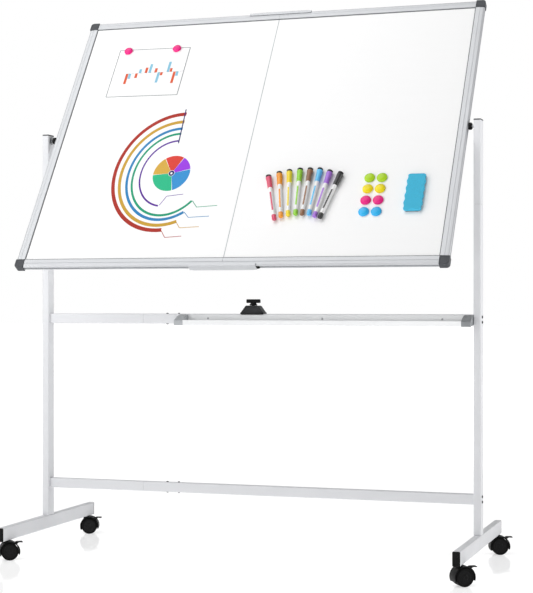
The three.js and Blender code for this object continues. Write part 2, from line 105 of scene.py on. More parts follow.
# links a pattern to the shader: colour between two shades, roughness between two values, and height
def applyPattern(tree, shader, colour=None, shades=(1.0, 1.0), tone=None, gloss=None, spread=None,
                 height=None, depth=0.1, strength=0.3):
    if tone is not None:
        mixed = addNode(tree, "Mix", {0: tone, 6: linear(colour, shades[0]), 7: linear(colour, shades[1])},
                        data_type="RGBA")
        tree.links.new(mixed.outputs[2], shader.inputs["Base Color"])
    if gloss is not None:
        ranged = addNode(tree, "MapRange", {
            "Value": gloss, "From Min": 0.3, "From Max": 0.7, "To Min": spread[0], "To Max": spread[1]})
        tree.links.new(ranged.outputs["Result"], shader.inputs["Roughness"])
    if height is not None:
        bump = addNode(tree, "Bump", {"Height": height, "Strength": strength, "Distance": depth * mm})
        tree.links.new(bump.outputs["Normal"], shader.inputs["Normal"])


# polyester powder baked on steel tube: satin, with a soft orange peel
def powderCoat(name, colour, peelSize=2.5, patchSize=110):
    material, tree, shader, place = startMaterial(name, colour, roughness=0.42)
    peel = addNode(tree, "TexNoise", {"Vector": place, "Scale": 1 / (peelSize * mm), "Detail": 2.0})
    patch = addNode(tree, "TexNoise", {"Vector": place, "Scale": 1 / (patchSize * mm), "Detail": 3.0})
    applyPattern(tree, shader, colour, (1.0, 0.95), tone=patch.outputs["Fac"], gloss=patch.outputs["Fac"],
                 spread=(0.34, 0.5), height=peel.outputs["Fac"], depth=0.12, strength=0.35)
    return material


# extruded aluminium, satin anodised: a soft metal glint drawn out by fine die lines along its length
def anodised(name, colour, alongX, tilt=0.0, metal=0.3, lineGap=1.6, lineRun=320):
    material, tree, shader, place = startMaterial(name, colour, roughness=0.36, metallic=metal)
    upright = addNode(tree, "VectorRotate", {"Vector": place, "Angle": -tilt}, rotation_type="X_AXIS")
    fine, run = 1 / (lineGap * mm), 1 / (lineRun * mm)
    stretch = (run, fine, fine) if alongX else (fine, fine, run)
    drawn = addNode(tree, "Mapping", {"Vector": upright.outputs["Vector"], "Scale": stretch})
    lines = addNode(tree, "TexNoise", {"Vector": drawn.outputs["Vector"], "Scale": 1.0, "Detail": 3.0,
                                       "Roughness": 0.65})
    cloud = addNode(tree, "TexNoise", {"Vector": place, "Scale": 1 / (90 * mm), "Detail": 2.0})
    applyPattern(tree, shader, colour, (1.0, 0.93), tone=cloud.outputs["Fac"], gloss=lines.outputs["Fac"],
                 spread=(0.28, 0.42), height=lines.outputs["Fac"], depth=0.05, strength=0.25)
    return material


# painted steel writing skin: glossy and hard, with faint sideways wipe marks in its shine
def writingSkin(name, colour, wipeGap=9, wipeRun=160):
    material, tree, shader, place = startMaterial(name, colour, roughness=0.2)
    swept = addNode(tree, "Mapping", {"Vector": place, "Rotation": (0.0, math.radians(12), 0.0),
                                      "Scale": (1 / (wipeRun * mm), 1 / (wipeGap * mm), 1 / (wipeGap * mm))})
    wipes = addNode(tree, "TexNoise", {"Vector": swept.outputs["Vector"], "Scale": 1.0, "Detail": 4.0})
    ripple = addNode(tree, "TexNoise", {"Vector": place, "Scale": 1 / (60 * mm), "Detail": 1.0})
    shader.inputs["Coat Weight"].default_value = 0.25
    shader.inputs["Coat Roughness"].default_value = 0.08
    applyPattern(tree, shader, colour, (1.0, 0.985), tone=wipes.outputs["Fac"], gloss=wipes.outputs["Fac"],
                 spread=(0.2, 0.27), height=ripple.outputs["Fac"], depth=0.15, strength=0.12)
    return material


# injection-moulded plastic: spark-eroded grain, slightly uneven shine from handling
def moulded(name, colour, roughness=0.45, grain=0.9, strength=0.35, coat=0.0, specular=0.5):
    material, tree, shader, place = startMaterial(name, colour, roughness)
    pits = addNode(tree, "TexNoise", {"Vector": place, "Scale": 1 / (grain * mm), "Detail": 2.0})
    handling = addNode(tree, "TexNoise", {"Vector": place, "Scale": 1 / (18 * mm), "Detail": 2.0})
    shader.inputs["Coat Weight"].default_value = coat
    shader.inputs["Specular IOR Level"].default_value = specular
    applyPattern(tree, shader, colour, (1.12, 0.86), tone=handling.outputs["Fac"],
                 gloss=handling.outputs["Fac"], spread=(roughness - 0.08, roughness + 0.08),
                 height=pits.outputs["Fac"], depth=0.06, strength=strength)
    return material


# zinc-plated steel: cool grey metal with a faint spangle
def zincPlated(name, colour, spangle=4):
    material, tree, shader, place = startMaterial(name, colour, roughness=0.35, metallic=0.95)
    cells = addNode(tree, "TexVoronoi", {"Vector": place, "Scale": 1 / (spangle * mm)})
    grit = addNode(tree, "TexNoise", {"Vector": place, "Scale": 1 / (0.7 * mm), "Detail": 2.0})
    applyPattern(tree, shader, colour, (1.0, 0.85), tone=cells.outputs["Color"], gloss=grit.outputs["Fac"],
                 spread=(0.3, 0.45), height=grit.outputs["Fac"], depth=0.04, strength=0.3)
    return material


# paper honeycomb board core: kraft cells about 10 mm across
def honeycomb(name, colour, cell=10):
    material, tree, shader, place = startMaterial(name, colour, roughness=0.85)
    cells = addNode(tree, "TexVoronoi", {"Vector": place, "Scale": 1 / (cell * mm), "Randomness": 0.1},
                    feature="DISTANCE_TO_EDGE")
    applyPattern(tree, shader, colour, (0.6, 1.0), tone=cells.outputs["Distance"],
                 height=cells.outputs["Distance"], depth=0.5, strength=0.5)
    return material


# dry-wipe ink: a thin matt film, a little streaky where strokes overlap
def dryInk(name, colour, streak=2.2):
    material, tree, shader, place = startMaterial(name, colour, roughness=0.55)
    shader.inputs["Specular IOR Level"].default_value = 0.2
    streaks = addNode(tree, "TexNoise", {"Vector": place, "Scale": 1 / (streak * mm), "Detail": 3.0})
    applyPattern(tree, shader, colour, (0.84, 1.08), tone=streaks.outputs["Fac"],
                 height=streaks.outputs["Fac"], depth=0.03, strength=0.3)
    return material


# uncoated office paper: matt, with short fibres
def officePaper(name, colour, fibre=1.2):
    material, tree, shader, place = startMaterial(name, colour, roughness=0.85)
    fibres = addNode(tree, "TexNoise", {"Vector": place, "Scale": 1 / (fibre * mm), "Detail": 4.0})
    applyPattern(tree, shader, colour, (1.0, 0.96), tone=fibres.outputs["Fac"], height=fibres.outputs["Fac"],
                 depth=0.04, strength=0.3)
    return material


# cut foam or felt: no shine, open cells about a millimetre across
def openFoam(name, colour, cell=1.4, sheen=0.15):
    material, tree, shader, place = startMaterial(name, colour, roughness=0.95)
    cells = addNode(tree, "TexVoronoi", {"Vector": place, "Scale": 1 / (cell * mm)})
    shader.inputs["Sheen Weight"].default_value = sheen
    applyPattern(tree, shader, colour, (0.72, 1.08), tone=cells.outputs["Distance"],
                 height=cells.outputs["Distance"], depth=0.35, strength=0.5)
    return material


whitePowder = powderCoat("powderCoatedSteel", "#E2E3E6")
zincSteel = zincPlated("zincPlatedSteel", "#A9ABAE")
honeycombCore = honeycomb("kraftHoneycomb", "#C9B48C")
whiteSkin = writingSkin("writingSteel", "#FBFBFB")
slateAbs = moulded("slateAbs", "#3B3E43", specular=0.4)
blackAbs = moulded("blackAbs", "#070708", 0.46, specular=0.14)
latchAbs = moulded("latchAbs", "#242527", 0.5, specular=0.3)
trayEndAbs = moulded("trayEndAbs", "#8E9194", 0.5)
greyAbs = moulded("lightGreyAbs", "#B4B7BA", 0.5)
hubNylon = moulded("blackNylonHub", "#0C0C0D", 0.4, specular=0.16)
treadRubber = moulded("blackTreadRubber", "#060606", 0.62, grain=1.3, strength=0.6, specular=0.14)
# dark grey strip material that paints the shadow line under the frame's inner lips
shadeLineVinyl = moulded("paintedShadeLineVinyl", "#6A6D70", 0.6)
seamVinyl = moulded("seamVinyl", "#B9BCC0", 0.5)


# mesh helpers, all in millimetres
def joined(parts):
    whole = bmesh.new()
    for part in parts:
        carrier = bpy.data.meshes.new("carrier")
        part.to_mesh(carrier)
        part.free()
        whole.from_mesh(carrier)
        bpy.data.meshes.remove(carrier)
    return whole


def soften(bm, width, segments=2, angle=35, chosen=None):
    sharp = [edge for edge in bm.edges if edge.is_manifold and edge.calc_face_angle() > math.radians(angle)
             and (chosen is None or chosen(edge))]
    bmesh.ops.bevel(bm, geom=sharp, offset=width * mm, offset_type="OFFSET", segments=segments,
                    profile=0.5, affect="EDGES", material=-1, clamp_overlap=True)
    return bm


def roundCorners(bm, corners, radius, segments):
    bmesh.ops.bevel(bm, geom=corners, offset=radius * mm, offset_type="OFFSET", segments=segments,
                    profile=0.5, affect="VERTICES", material=-1, clamp_overlap=True)


# draws flat faces out along a direction, in millimetres, into a closed body
def drawnOut(bm, along):
    grown = bmesh.ops.extrude_face_region(bm, geom=bm.faces[:])
    lifted = [part for part in grown["geom"] if isinstance(part, bmesh.types.BMVert)]
    bmesh.ops.translate(bm, verts=lifted, vec=Vector(along) * mm)
    bmesh.ops.recalc_face_normals(bm, faces=bm.faces[:])
    return bm


# A section drawn across an axis and drawn out along it. Corners listed in rounding get a radius.
def bar(axis, low, high, points, rounding=0.0, rounds=3, endSoft=0.0, wall=0.0):
    lift = {"X": lambda a, b, along: (along, a, b), "Y": lambda a, b, along: (a, along, b),
            "Z": lambda a, b, along: (a, b, along)}[axis]
    along = "XYZ".index(axis)
    bm = bmesh.new()
    corners = [bm.verts.new(Vector(lift(a, b, low)) * mm) for a, b in points]
    bm.faces.new(corners)
    radii = rounding if isinstance(rounding, dict) else {place: rounding for place in range(len(points))}
    for place, radius in radii.items():
        if radius:
            roundCorners(bm, [corners[place]], radius, rounds)
    drawnOut(bm, lift(0, 0, high - low))

    def atEnd(edge):
        spots = [vert.co[along] / mm for vert in edge.verts]
        return any(all(abs(spot - end) < 0.01 for spot in spots) for end in (low, high))

    if endSoft:
        soften(bm, endSoft, 2, 30, atEnd)
    if wall:
        lids = [face for face in bm.faces if abs(face.normal[along]) > 0.99]
        bmesh.ops.delete(bm, geom=lids, context="FACES_ONLY")
        bmesh.ops.recalc_face_normals(bm, faces=bm.faces[:])
        bmesh.ops.solidify(bm, geom=bm.faces[:], thickness=wall * mm)
    return bm


def rectangle(lowA, lowB, highA, highB):
    return [(lowA, lowB), (highA, lowB), (highA, highB), (lowA, highB)]


def block(low, high, soft=1.0, segments=2):
    bm = bar("Z", low[2], high[2], rectangle(low[0], low[1], high[0], high[1]))
    return soften(bm, soft, segments) if soft else bm


# A profile of (distance along the axis, radius) turned all the way round.
def turned(axis, points, steps=32, soft=0.0, segments=2):
    bm = bmesh.new()
    ring = [bm.verts.new((radius * mm, 0.0, place * mm)) for place, radius in points]
    edges = [bm.edges.new(pair) for pair in zip(ring, ring[1:])]
    if points[0] != points[-1] and points[0][1] > 0:
        edges.append(bm.edges.new((ring[-1], ring[0])))
    bmesh.ops.spin(bm, geom=ring + edges, cent=(0, 0, 0), axis=(0, 0, 1), dvec=(0, 0, 0), angle=2 * math.pi,
                   steps=steps, use_merge=True, use_duplicate=False)
    bmesh.ops.remove_doubles(bm, verts=bm.verts[:], dist=1e-6)
    bmesh.ops.recalc_face_normals(bm, faces=bm.faces[:])
    if soft:
        soften(bm, soft, segments, 30)
    turns = {"X": Matrix.Rotation(math.radians(90), 4, "Y"), "Y": Matrix.Rotation(math.radians(-90), 4, "X"),
             "Z": Matrix.Identity(4)}
    bmesh.ops.transform(bm, matrix=turns[axis], verts=bm.verts[:])
    return bm


def moved(bm, offset=(0, 0, 0), place=None):
    bmesh.ops.translate(bm, verts=bm.verts[:], vec=Vector(offset) * mm)
    if place is not None:
        bmesh.ops.transform(bm, matrix=place, verts=bm.verts[:])
    return bm


halfTurn = Matrix.Rotation(math.pi, 4, "Z")


def makePiece(name, bm, materials, body, replaces=(), angle=32, place=None):
    if place is not None:
        moved(bm, place=place)
    mesh = bpy.data.meshes.new(name)
    bm.to_mesh(mesh)
    bm.free()
    for material in materials if isinstance(materials, list) else [materials]:
        mesh.materials.append(material)
    mesh.shade_smooth()
    mesh.set_sharp_from_angle(angle=math.radians(angle))
    piece = bpy.data.objects.new(name, mesh)
    bpy.context.scene.collection.objects.link(piece)
    even = piece.modifiers.new("evenShading", "WEIGHTED_NORMAL")
    even.keep_sharp = True
    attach(piece, body)
    if replaces:
        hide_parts(*replaces)


def dressNode(name, material):
    mesh = frame["nodes"][name].data
    mesh.materials.clear()
    mesh.materials.append(material)


# lowest and highest corners of a node in millimetres, in the frame of place where one is given
def span(node, place=None):
    low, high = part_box(node)
    if place is not None:
        back = place.inverted()
        spots = [back @ vert.co for vert in frame["nodes"][node].data.vertices]
        low = Vector([min(spot[axis] for spot in spots) for axis in range(3)])
        high = Vector([max(spot[axis] for spot in spots) for axis in range(3)])
    return low / mm, high / mm


# button-head screw with a round socket; the shank sits in the tube's wall
def socketScrew(axis, head, rise, shank=1.6, shankLength=4):
    return turned(axis, [(-shankLength, 0), (-shankLength, shank), (0, shank), (0, head / 2),
                         (rise * 0.45, head / 2), (rise, head * 0.36), (rise, head * 0.22),
                         (rise * 0.3, head * 0.2), (rise * 0.3, 0)], 20)


# a face pressed in, leaving a margin round it and a short slope down
def sunkPanel(bm, lid, margin, slope, depth):
    bmesh.ops.inset_individual(bm, faces=[lid], thickness=margin * mm, depth=0.0)
    bmesh.ops.inset_individual(bm, faces=[lid], thickness=slope * mm, depth=-depth * mm)


def largestFacing(bm, out):
    return max(bm.faces, key=lambda each: out * each.normal.y * each.calc_area())


# the board's own plane: x to the writer's right, y into the board, z up along its face
pivotSpot = Vector(joints["board_tilt"]["pos_m"])
faceFront = sum(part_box("skin_front_left"), Vector()) / 2
faceBack = sum(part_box("skin_back_left"), Vector()) / 2
faceOut = (faceFront - faceBack).normalized()
boardTilt = math.atan2(-faceOut.z, -faceOut.y)
boardPlace = Matrix.Translation(pivotSpot) @ Matrix.Rotation(boardTilt, 4, "X")
# the rails' and splice clips' aluminium is a slightly darker copy of the stiles' (#C2C4C7 against #C6C8CB):
# painted shade on the rails
shadedAluminiumAcross = anodised("anodisedRailShaded", "#C2C4C7", True, boardTilt)
aluminiumUp = anodised("anodisedStile", "#C6C8CB", False, boardTilt)
aluminiumTray = anodised("anodisedTray", "#F0F1F2", True, metal=0.2)

# uprights: rectangular steel tube, upper and lower lengths meeting at a soft-edged seam
upright = {"corner": 3.0, "wall": 1.5, "seamSoft": 0.9, "capSoft": 1.1}
washerSize = {"bore": 4.6, "radius": 12.0, "thickness": 1.5, "edge": 0.4, "backChamfer": 1.5,
              "frontChamfer": 1.0}
for side, sign in sides.items():
    for section in ("lower", "upper"):
        node = f"upright_{section}_{side}"
        low, high = span(node)
        tube = bar("Z", low.z, high.z, rectangle(low.x, low.y, high.x, high.y), upright["corner"],
                   endSoft=upright["seamSoft"], wall=upright["wall"])
        makePiece(f"uprightTube_{section}_{side}", tube, whitePowder, "stand", [node])
    low, high = span(f"upright_cap_{side}")
    lidBottom = span(f"upright_upper_{side}")[1].z + fitGap
    lid = bar("Z", lidBottom, high.z, rectangle(low.x, low.y, high.x, high.y), upright["corner"])
    soften(lid, upright["capSoft"], 3, 30,
           lambda edge: all(vert.co.z > (high.z - 0.1) * mm for vert in edge.verts))
    skirtIn = upright["wall"] + fitGap
    skirt = bar("Z", low.z, lidBottom,
                rectangle(low.x + skirtIn, low.y + skirtIn, high.x - skirtIn, high.y - skirtIn), 1.0)
    makePiece(f"uprightCap_{side}", joined([lid, skirt]), slateAbs, "stand",
              [f"upright_cap_{side}"])
    dressNode(f"upright_spigot_{side}", zincSteel)
    inner = span(f"upright_upper_{side}")[0 if sign > 0 else 1].x
    bore, radius, thickness = washerSize["bore"], washerSize["radius"], washerSize["thickness"]
    washer = turned("X", [(0, bore), (0, radius - washerSize["backChamfer"]), (washerSize["edge"], radius),
                          (thickness - washerSize["edge"], radius),
                          (thickness, radius - washerSize["frontChamfer"]), (thickness, bore)], 40)
    if sign > 0:
        moved(washer, place=halfTurn)
    moved(washer, (inner, 0, pivotSpot.z / mm))
    makePiece(f"pivotWasher_{side}", washer, zincSteel, "stand")
print("uprights done")

# feet: tube laid flat along y, with push-in plugs
foot = {"corner": 3.0, "wall": 1.5, "endSoft": 0.6, "plugSoft": 1.0, "dish": (3.2, 0.5, 0.7),
        "rootLength": 13.0, "rootRound": 1.2}
for side in sides:
    low, high = span(f"foot_{side}")
    tube = bar("Y", low.y, high.y, rectangle(low.x, low.z, high.x, high.z), foot["corner"],
               endSoft=foot["endSoft"], wall=foot["wall"])
    makePiece(f"footTube_{side}", tube, whitePowder, "stand", [f"foot_{side}"])
    footEnd = {"front": low.y, "rear": high.y}
    for end, out in (("front", -1), ("rear", 1)):
        node = f"foot_plug_{end}_{side}"
        plugLow, plugHigh = span(node)
        outerEnd = plugLow.y if out < 0 else plugHigh.y
        seat = footEnd[end] + out * fitGap
        near, far = sorted((seat, outerEnd))
        face = bar("Y", near, far, rectangle(plugLow.x, plugLow.z, plugHigh.x, plugHigh.z), foot["corner"])
        soften(face, foot["plugSoft"], 3, 30,
               lambda edge: all(abs(vert.co.y / mm - outerEnd) < 0.1 for vert in edge.verts))
        # the plug's outer face is a shallow dish
        sunkPanel(face, max(face.faces, key=lambda each: out * each.calc_center_median().y), *foot["dish"])
        rootNear, rootFar = sorted((seat, seat - out * foot["rootLength"]))
        rootIn = foot["wall"] + fitGap
        rootSection = rectangle(plugLow.x + rootIn, plugLow.z + rootIn,
                                plugHigh.x - rootIn, plugHigh.z - rootIn)
        root = bar("Y", rootNear, rootFar, rootSection, foot["rootRound"])
        makePiece(f"footPlug_{end}_{side}", joined([face, root]), blackAbs, "stand", [node])
print("feet done")

# cross beams: two lengths on an inner sleeve, screwed on both sides of the seam
beam = {"corner": 3.0, "wall": 1.5, "seamSoft": 0.9, "screwsFromEnd": (366.0, 401.0), "seamScrew": (6.5, 2.2),
        "sideScrew": (7.5, 2.0), "sideScrewHalfGap": 7.0}
for level in ("mid", "low"):
    for section in ("short", "long"):
        node = f"{level}_beam_{section}"
        low, high = span(node)
        tube = bar("X", low.x, high.x, rectangle(low.y, low.z, high.y, high.z), beam["corner"],
                   endSoft=beam["seamSoft"], wall=beam["wall"])
        makePiece(f"beamTube_{level}_{section}", tube, whitePowder, "stand", [node])
    dressNode(f"{level}_beam_sleeve", zincSteel)
    beamStart = span(f"{level}_beam_short")[0].x
    screws = []
    for along in beam["screwsFromEnd"]:
        screws.append(moved(socketScrew("Z", *beam["seamScrew"]), (beamStart + along, 0, high.z)))
        under = moved(socketScrew("Z", *beam["seamScrew"]), place=Matrix.Rotation(math.pi, 4, "X"))
        screws.append(moved(under, (beamStart + along, 0, low.z)))
    makePiece(f"beamScrews_{level}", joined(screws), blackAbs, "stand")
    for side, sign in sides.items():
        outer = span(f"upright_lower_{side}")[1 if sign > 0 else 0].x
        pair = []
        for step in (-1, 1):
            screw = socketScrew("X", *beam["sideScrew"])
            if sign < 0:
                moved(screw, place=halfTurn)
            pair.append(moved(screw, (outer, 0, (low.z + high.z) / 2 + step * beam["sideScrewHalfGap"])))
        makePiece(f"uprightScrews_{level}_{side}", joined(pair), blackAbs, "stand")
print("beams done")

# pen tray: extruded trough with a rolled lip, ribbed floor and moulded ends
tray = {"wall": 1.6, "lipHeight": 15.0, "floorRise": 5.0, "bead": 2.4, "beadHeight": 3.0,
        "ribs": (14.0, 24.0, 34.0), "ribHeight": 0.9, "ribFoot": 1.2, "ribTop": 0.6, "cornerRound": 0.35,
        "endSoft": 0.3, "capSoft": 1.6, "screw": (5.5, 1.4), "screwDrop": 11.0, "screwFromEnd": 60.0}
low, high = span("pen_tray")
back, front, wall = high.y, low.y, tray["wall"]
lipTop, floorFront = low.z + tray["lipHeight"], low.z
floorBack = low.z + tray["floorRise"]
floorSlope = (floorBack - floorFront) / (back - front)
trough = [(back, high.z), (back - wall, high.z), (back - wall, floorBack + wall)]
for rib in tray["ribs"]:
    spot = back - rib
    base = floorFront + wall + (spot - front) * floorSlope
    ribTop, halfFoot, halfTop = base + tray["ribHeight"], tray["ribFoot"], tray["ribTop"]
    trough += [(spot + halfFoot, base), (spot + halfTop, ribTop), (spot - halfTop, ribTop),
               (spot - halfFoot, base)]
trough += [(front + wall, floorFront + wall), (front + wall, lipTop - tray["beadHeight"]),
           (front + tray["bead"], lipTop - tray["bead"]), (front + tray["bead"], lipTop), (front, lipTop),
           (front, floorFront), (back, floorBack)]
# the bead's two top corners and the lip's lower corner are rounder than the rest
rounding = {place: tray["cornerRound"] for place in range(len(trough))}
rounding |= {len(trough) - 4: 1.0, len(trough) - 3: 1.1, len(trough) - 2: 1.4}
makePiece("trayTrough", bar("X", low.x, high.x, trough, rounding, 3, endSoft=tray["endSoft"]), aluminiumTray,
          "stand", ["pen_tray"])
for side, material, slot in (("left", greyAbs, "grey_plastic"), ("right", trayEndAbs, "slate_plastic")):
    capLow, capHigh = span(f"tray_end_{side}")
    # the cap's outline falls from the beam to the lip, with a round brow, and follows the sloping floor
    cheek = [(capHigh.y, capHigh.z), (capHigh.y - 21, capHigh.z - 3.5), (capLow.y + 3, capHigh.z - 14),
             (capLow.y, capHigh.z - 17), (capLow.y, capLow.z), (capHigh.y, capLow.z + tray["floorRise"])]
    cap = bar("X", capLow.x, capHigh.x, cheek, {0: 1.0, 1: 9.0, 2: 3.0, 3: 2.0, 4: 2.0, 5: 1.0}, 4)
    soften(cap, tray["capSoft"], 3, 40)
    makePiece(f"trayEnd_{side}", cap, material, "stand", [f"tray_end_{side}"])
trayScrews = []
for spot in (low.x + tray["screwFromEnd"], (low.x + high.x) / 2, high.x - tray["screwFromEnd"]):
    screw = moved(socketScrew("Y", *tray["screw"]), place=halfTurn)
    trayScrews.append(moved(screw, (spot, back - wall, high.z - tray["screwDrop"])))
makePiece("trayScrews", joined(trayScrews), zincSteel, "stand")
print("tray done")

# latch: a moulded saddle on the beam and a T-handle that turns on it
latch = {"soft": 1.6, "topHalf": 18.5, "footHeight": 2.0, "shoulderRound": 2.5, "panel": (3.0, 0.7, 0.8),
         "neck": 8.2, "flange": 11.0, "headHeight": 10.7, "headHalf": 7.5, "headRound": 6.5, "headSoft": 2.2,
         "ribs": 5, "firstRib": 7.0, "ribStep": 2.4, "ribHalf": 0.6, "ribReach": 5.2}
low, high = span("latch_base")
footTop = low.z + latch["footHeight"]
topHalf = latch["topHalf"]
saddle = bar("Y", low.y, high.y, [(low.x, low.z), (high.x, low.z), (high.x, footTop), (topHalf, high.z),
                                  (-topHalf, high.z), (low.x, footTop)],
             {3: latch["shoulderRound"], 4: latch["shoulderRound"]}, 3)
soften(saddle, latch["soft"], 3, 40, lambda edge: min(vert.co.z for vert in edge.verts) > (low.z + 0.5) * mm)
for out in (-1, 1):
    sunkPanel(saddle, largestFacing(saddle, out), *latch["panel"])
makePiece("latchSaddle", saddle, latchAbs, "stand", ["latch_base"])
low, high = span("latch_handle")
neckBottom = span("latch_base")[1].z + fitGap
headBottom = high.z - latch["headHeight"]
# spindle in the base, a flange that rides on it, and a neck that runs 1 mm up into the head
flange, neckEnd = latch["flange"], headBottom + 1
neck = turned("Z", [(low.z, 0), (low.z, 4.5), (neckBottom, 4.5), (neckBottom, flange - 1),
                    (neckBottom + 1, flange), (neckBottom + 2.6, flange),
                    (neckBottom + 4.2, latch["neck"] + 0.4), (neckEnd, latch["neck"]), (neckEnd, 0)], 40)
head = bar("Z", headBottom, high.z, rectangle(low.x, -latch["headHalf"], high.x, latch["headHalf"]),
           latch["headRound"], 6)
soften(head, latch["headSoft"], 3, 40)
ribs = []
for step in range(latch["ribs"]):
    for end in (-1, 1):
        spot = end * (latch["firstRib"] + latch["ribStep"] * step)
        ribs.append(block((spot - latch["ribHalf"], -latch["ribReach"], high.z - latch["ribHalf"]),
                          (spot + latch["ribHalf"], latch["ribReach"], high.z), 0.25, 1))
makePiece("latchGrip", joined([neck, head] + ribs), blackAbs, "latch_handle",
          ["latch_handle"])
print("latch done")

# pivots: hex-headed bolt inside each upright, stepped collar on the board's edge
pivot = {"shank": 4.0, "tipChamfer": 0.8, "headThickness": 5.0, "headRadius": 7.5, "headSoft": 0.6,
         "collarBore": 4.3, "collarRadius": 10.0, "collarNose": 7.6}
for side, sign in sides.items():
    node = f"pivot_bolt_{side}"
    low, high = span(node)
    outerEnd, innerEnd = (high.x, low.x) if sign > 0 else (low.x, high.x)
    headStart = outerEnd - sign * pivot["headThickness"]
    near, far = sorted((innerEnd, headStart))
    shankRadius = pivot["shank"]
    shank = turned("X", [(near, 0), (near, shankRadius - pivot["tipChamfer"]), (near + 0.9, shankRadius),
                         (far, shankRadius), (far, 0)], 32)
    near, far = sorted((headStart, outerEnd))
    hexHead = turned("X", [(near, 0), (near, pivot["headRadius"]), (far, pivot["headRadius"]), (far, 0)], 6,
                     pivot["headSoft"])
    bolt = moved(joined([shank, hexHead]), (0, 0, pivotSpot.z / mm))
    makePiece(f"pivotBolt_{side}", bolt, zincSteel, "stand", [node])
    low, high = span(f"pivot_collar_{side}", boardPlace)
    long, radius, bore = high.x - low.x, pivot["collarRadius"], pivot["collarBore"]
    # plain drum with a step and a tapering nose towards the upright
    collar = turned("X", [(0, bore), (0, radius - 0.8), (0.8, radius), (long - 2.6, radius),
                          (long - 2.2, radius - 0.6), (long - 0.6, radius - 1.6), (long, pivot["collarNose"]),
                          (long, bore)], 48)
    if sign < 0:
        moved(collar, place=halfTurn)
    moved(collar, (low.x if sign > 0 else high.x, 0, 0))
    makePiece(f"pivotCollar_{side}", collar, blackAbs, "board", [f"pivot_collar_{side}"],
              place=boardPlace)
print("pivots done")

# board frame: grooved profile with softened outer corners
profile = {"face": 25.0, "rim": 9.0, "groove": 4.2, "grooveHalf": 2.8, "edgeHalf": 5.2, "edgeRound": 1.6,
           "shoulder": (2.6, 8.0), "lineAt": 12.0, "lineWidth": 1.4, "lineDepth": 1.0, "outerDrop": 0.5,
           "lipRound": 0.8, "endSoft": 0.35}
cornerCap = {"round": 9.0, "soft": 1.6, "panel": (3.0, 0.5, 0.5)}
stileLow, stileHigh = span("stile_left", boardPlace)
halfThick = (stileHigh.y - stileLow.y) / 2
boardHalf = -stileLow.x
railHigh = span("rail_top_left", boardPlace)[1]
boardReach = railHigh.z
skinFace = -span("skin_front_left", boardPlace)[0].y


def frameBar(axis, low, high, edge, sign):
    channel = skinFace + fitGap
    lineStart, lineStop = profile["lineAt"], profile["lineAt"] + profile["lineWidth"]
    outer = halfThick - profile["outerDrop"]
    # half the section, from the groove round the shoulder and over a sunk line to the inner lip
    lineFloor = halfThick - profile["lineDepth"]
    half = [(profile["groove"], 0.5 - profile["grooveHalf"]), (0, -profile["grooveHalf"]),
            (0, -profile["edgeHalf"]), (profile["shoulder"][0], -profile["shoulder"][1]), (lineStart, -outer),
            (lineStart + 0.4, -lineFloor), (lineStop - 0.2, -lineFloor), (lineStop, -halfThick),
            (profile["face"], -halfThick), (profile["face"], -channel), (profile["rim"], -channel)]
    points = half + [(across, -depth) for across, depth in reversed(half)]
    halfRounds = {1: 0.5, 2: profile["edgeRound"], 3: 2.0, 4: 0.3, 7: 0.3, 8: profile["lipRound"]}
    rounds = halfRounds | {len(points) - 1 - place: radius for place, radius in halfRounds.items()}
    if axis == "Z":
        section = [(edge - sign * across, depth) for across, depth in points]
    else:
        section = [(depth, edge - sign * across) for across, depth in points]
    return bar(axis, low, high, section, rounds, 4, endSoft=profile["endSoft"])


for side, sign in sides.items():
    low, high = span(f"stile_{side}", boardPlace)
    stile = frameBar("Z", low.z, high.z, sign * boardHalf, sign)
    makePiece(f"frameStile_{side}", stile, aluminiumUp, "board", [f"stile_{side}"],
              place=boardPlace)
    for level, rise in levels.items():
        low, high = span(f"rail_{level}_{side}", boardPlace)
        rail = frameBar("X", low.x, high.x, rise * boardReach, rise)
        makePiece(f"frameRail_{level}_{side}", rail, shadedAluminiumAcross, "board",
                  [f"rail_{level}_{side}"], place=boardPlace)
        # corner cap: block with one round outer corner, soft edges and a shallow panel in each face
        low, high = span(f"corner_{level}_{side}", boardPlace)
        outX, outZ = (high.x, low.x)[sign < 0], (high.z, low.z)[rise < 0]
        inX, inZ = (low.x, high.x)[sign < 0], (low.z, high.z)[rise < 0]
        cap = bar("Y", low.y, high.y, [(inX, inZ), (outX, inZ), (outX, outZ), (inX, outZ)],
                  {2: cornerCap["round"]}, 8)
        soften(cap, cornerCap["soft"], 3, 40)
        for out in (-1, 1):
            sunkPanel(cap, largestFacing(cap, out), *cornerCap["panel"])
        makePiece(f"cornerCap_{level}_{side}", cap, slateAbs, "board",
                  [f"corner_{level}_{side}"], place=boardPlace)

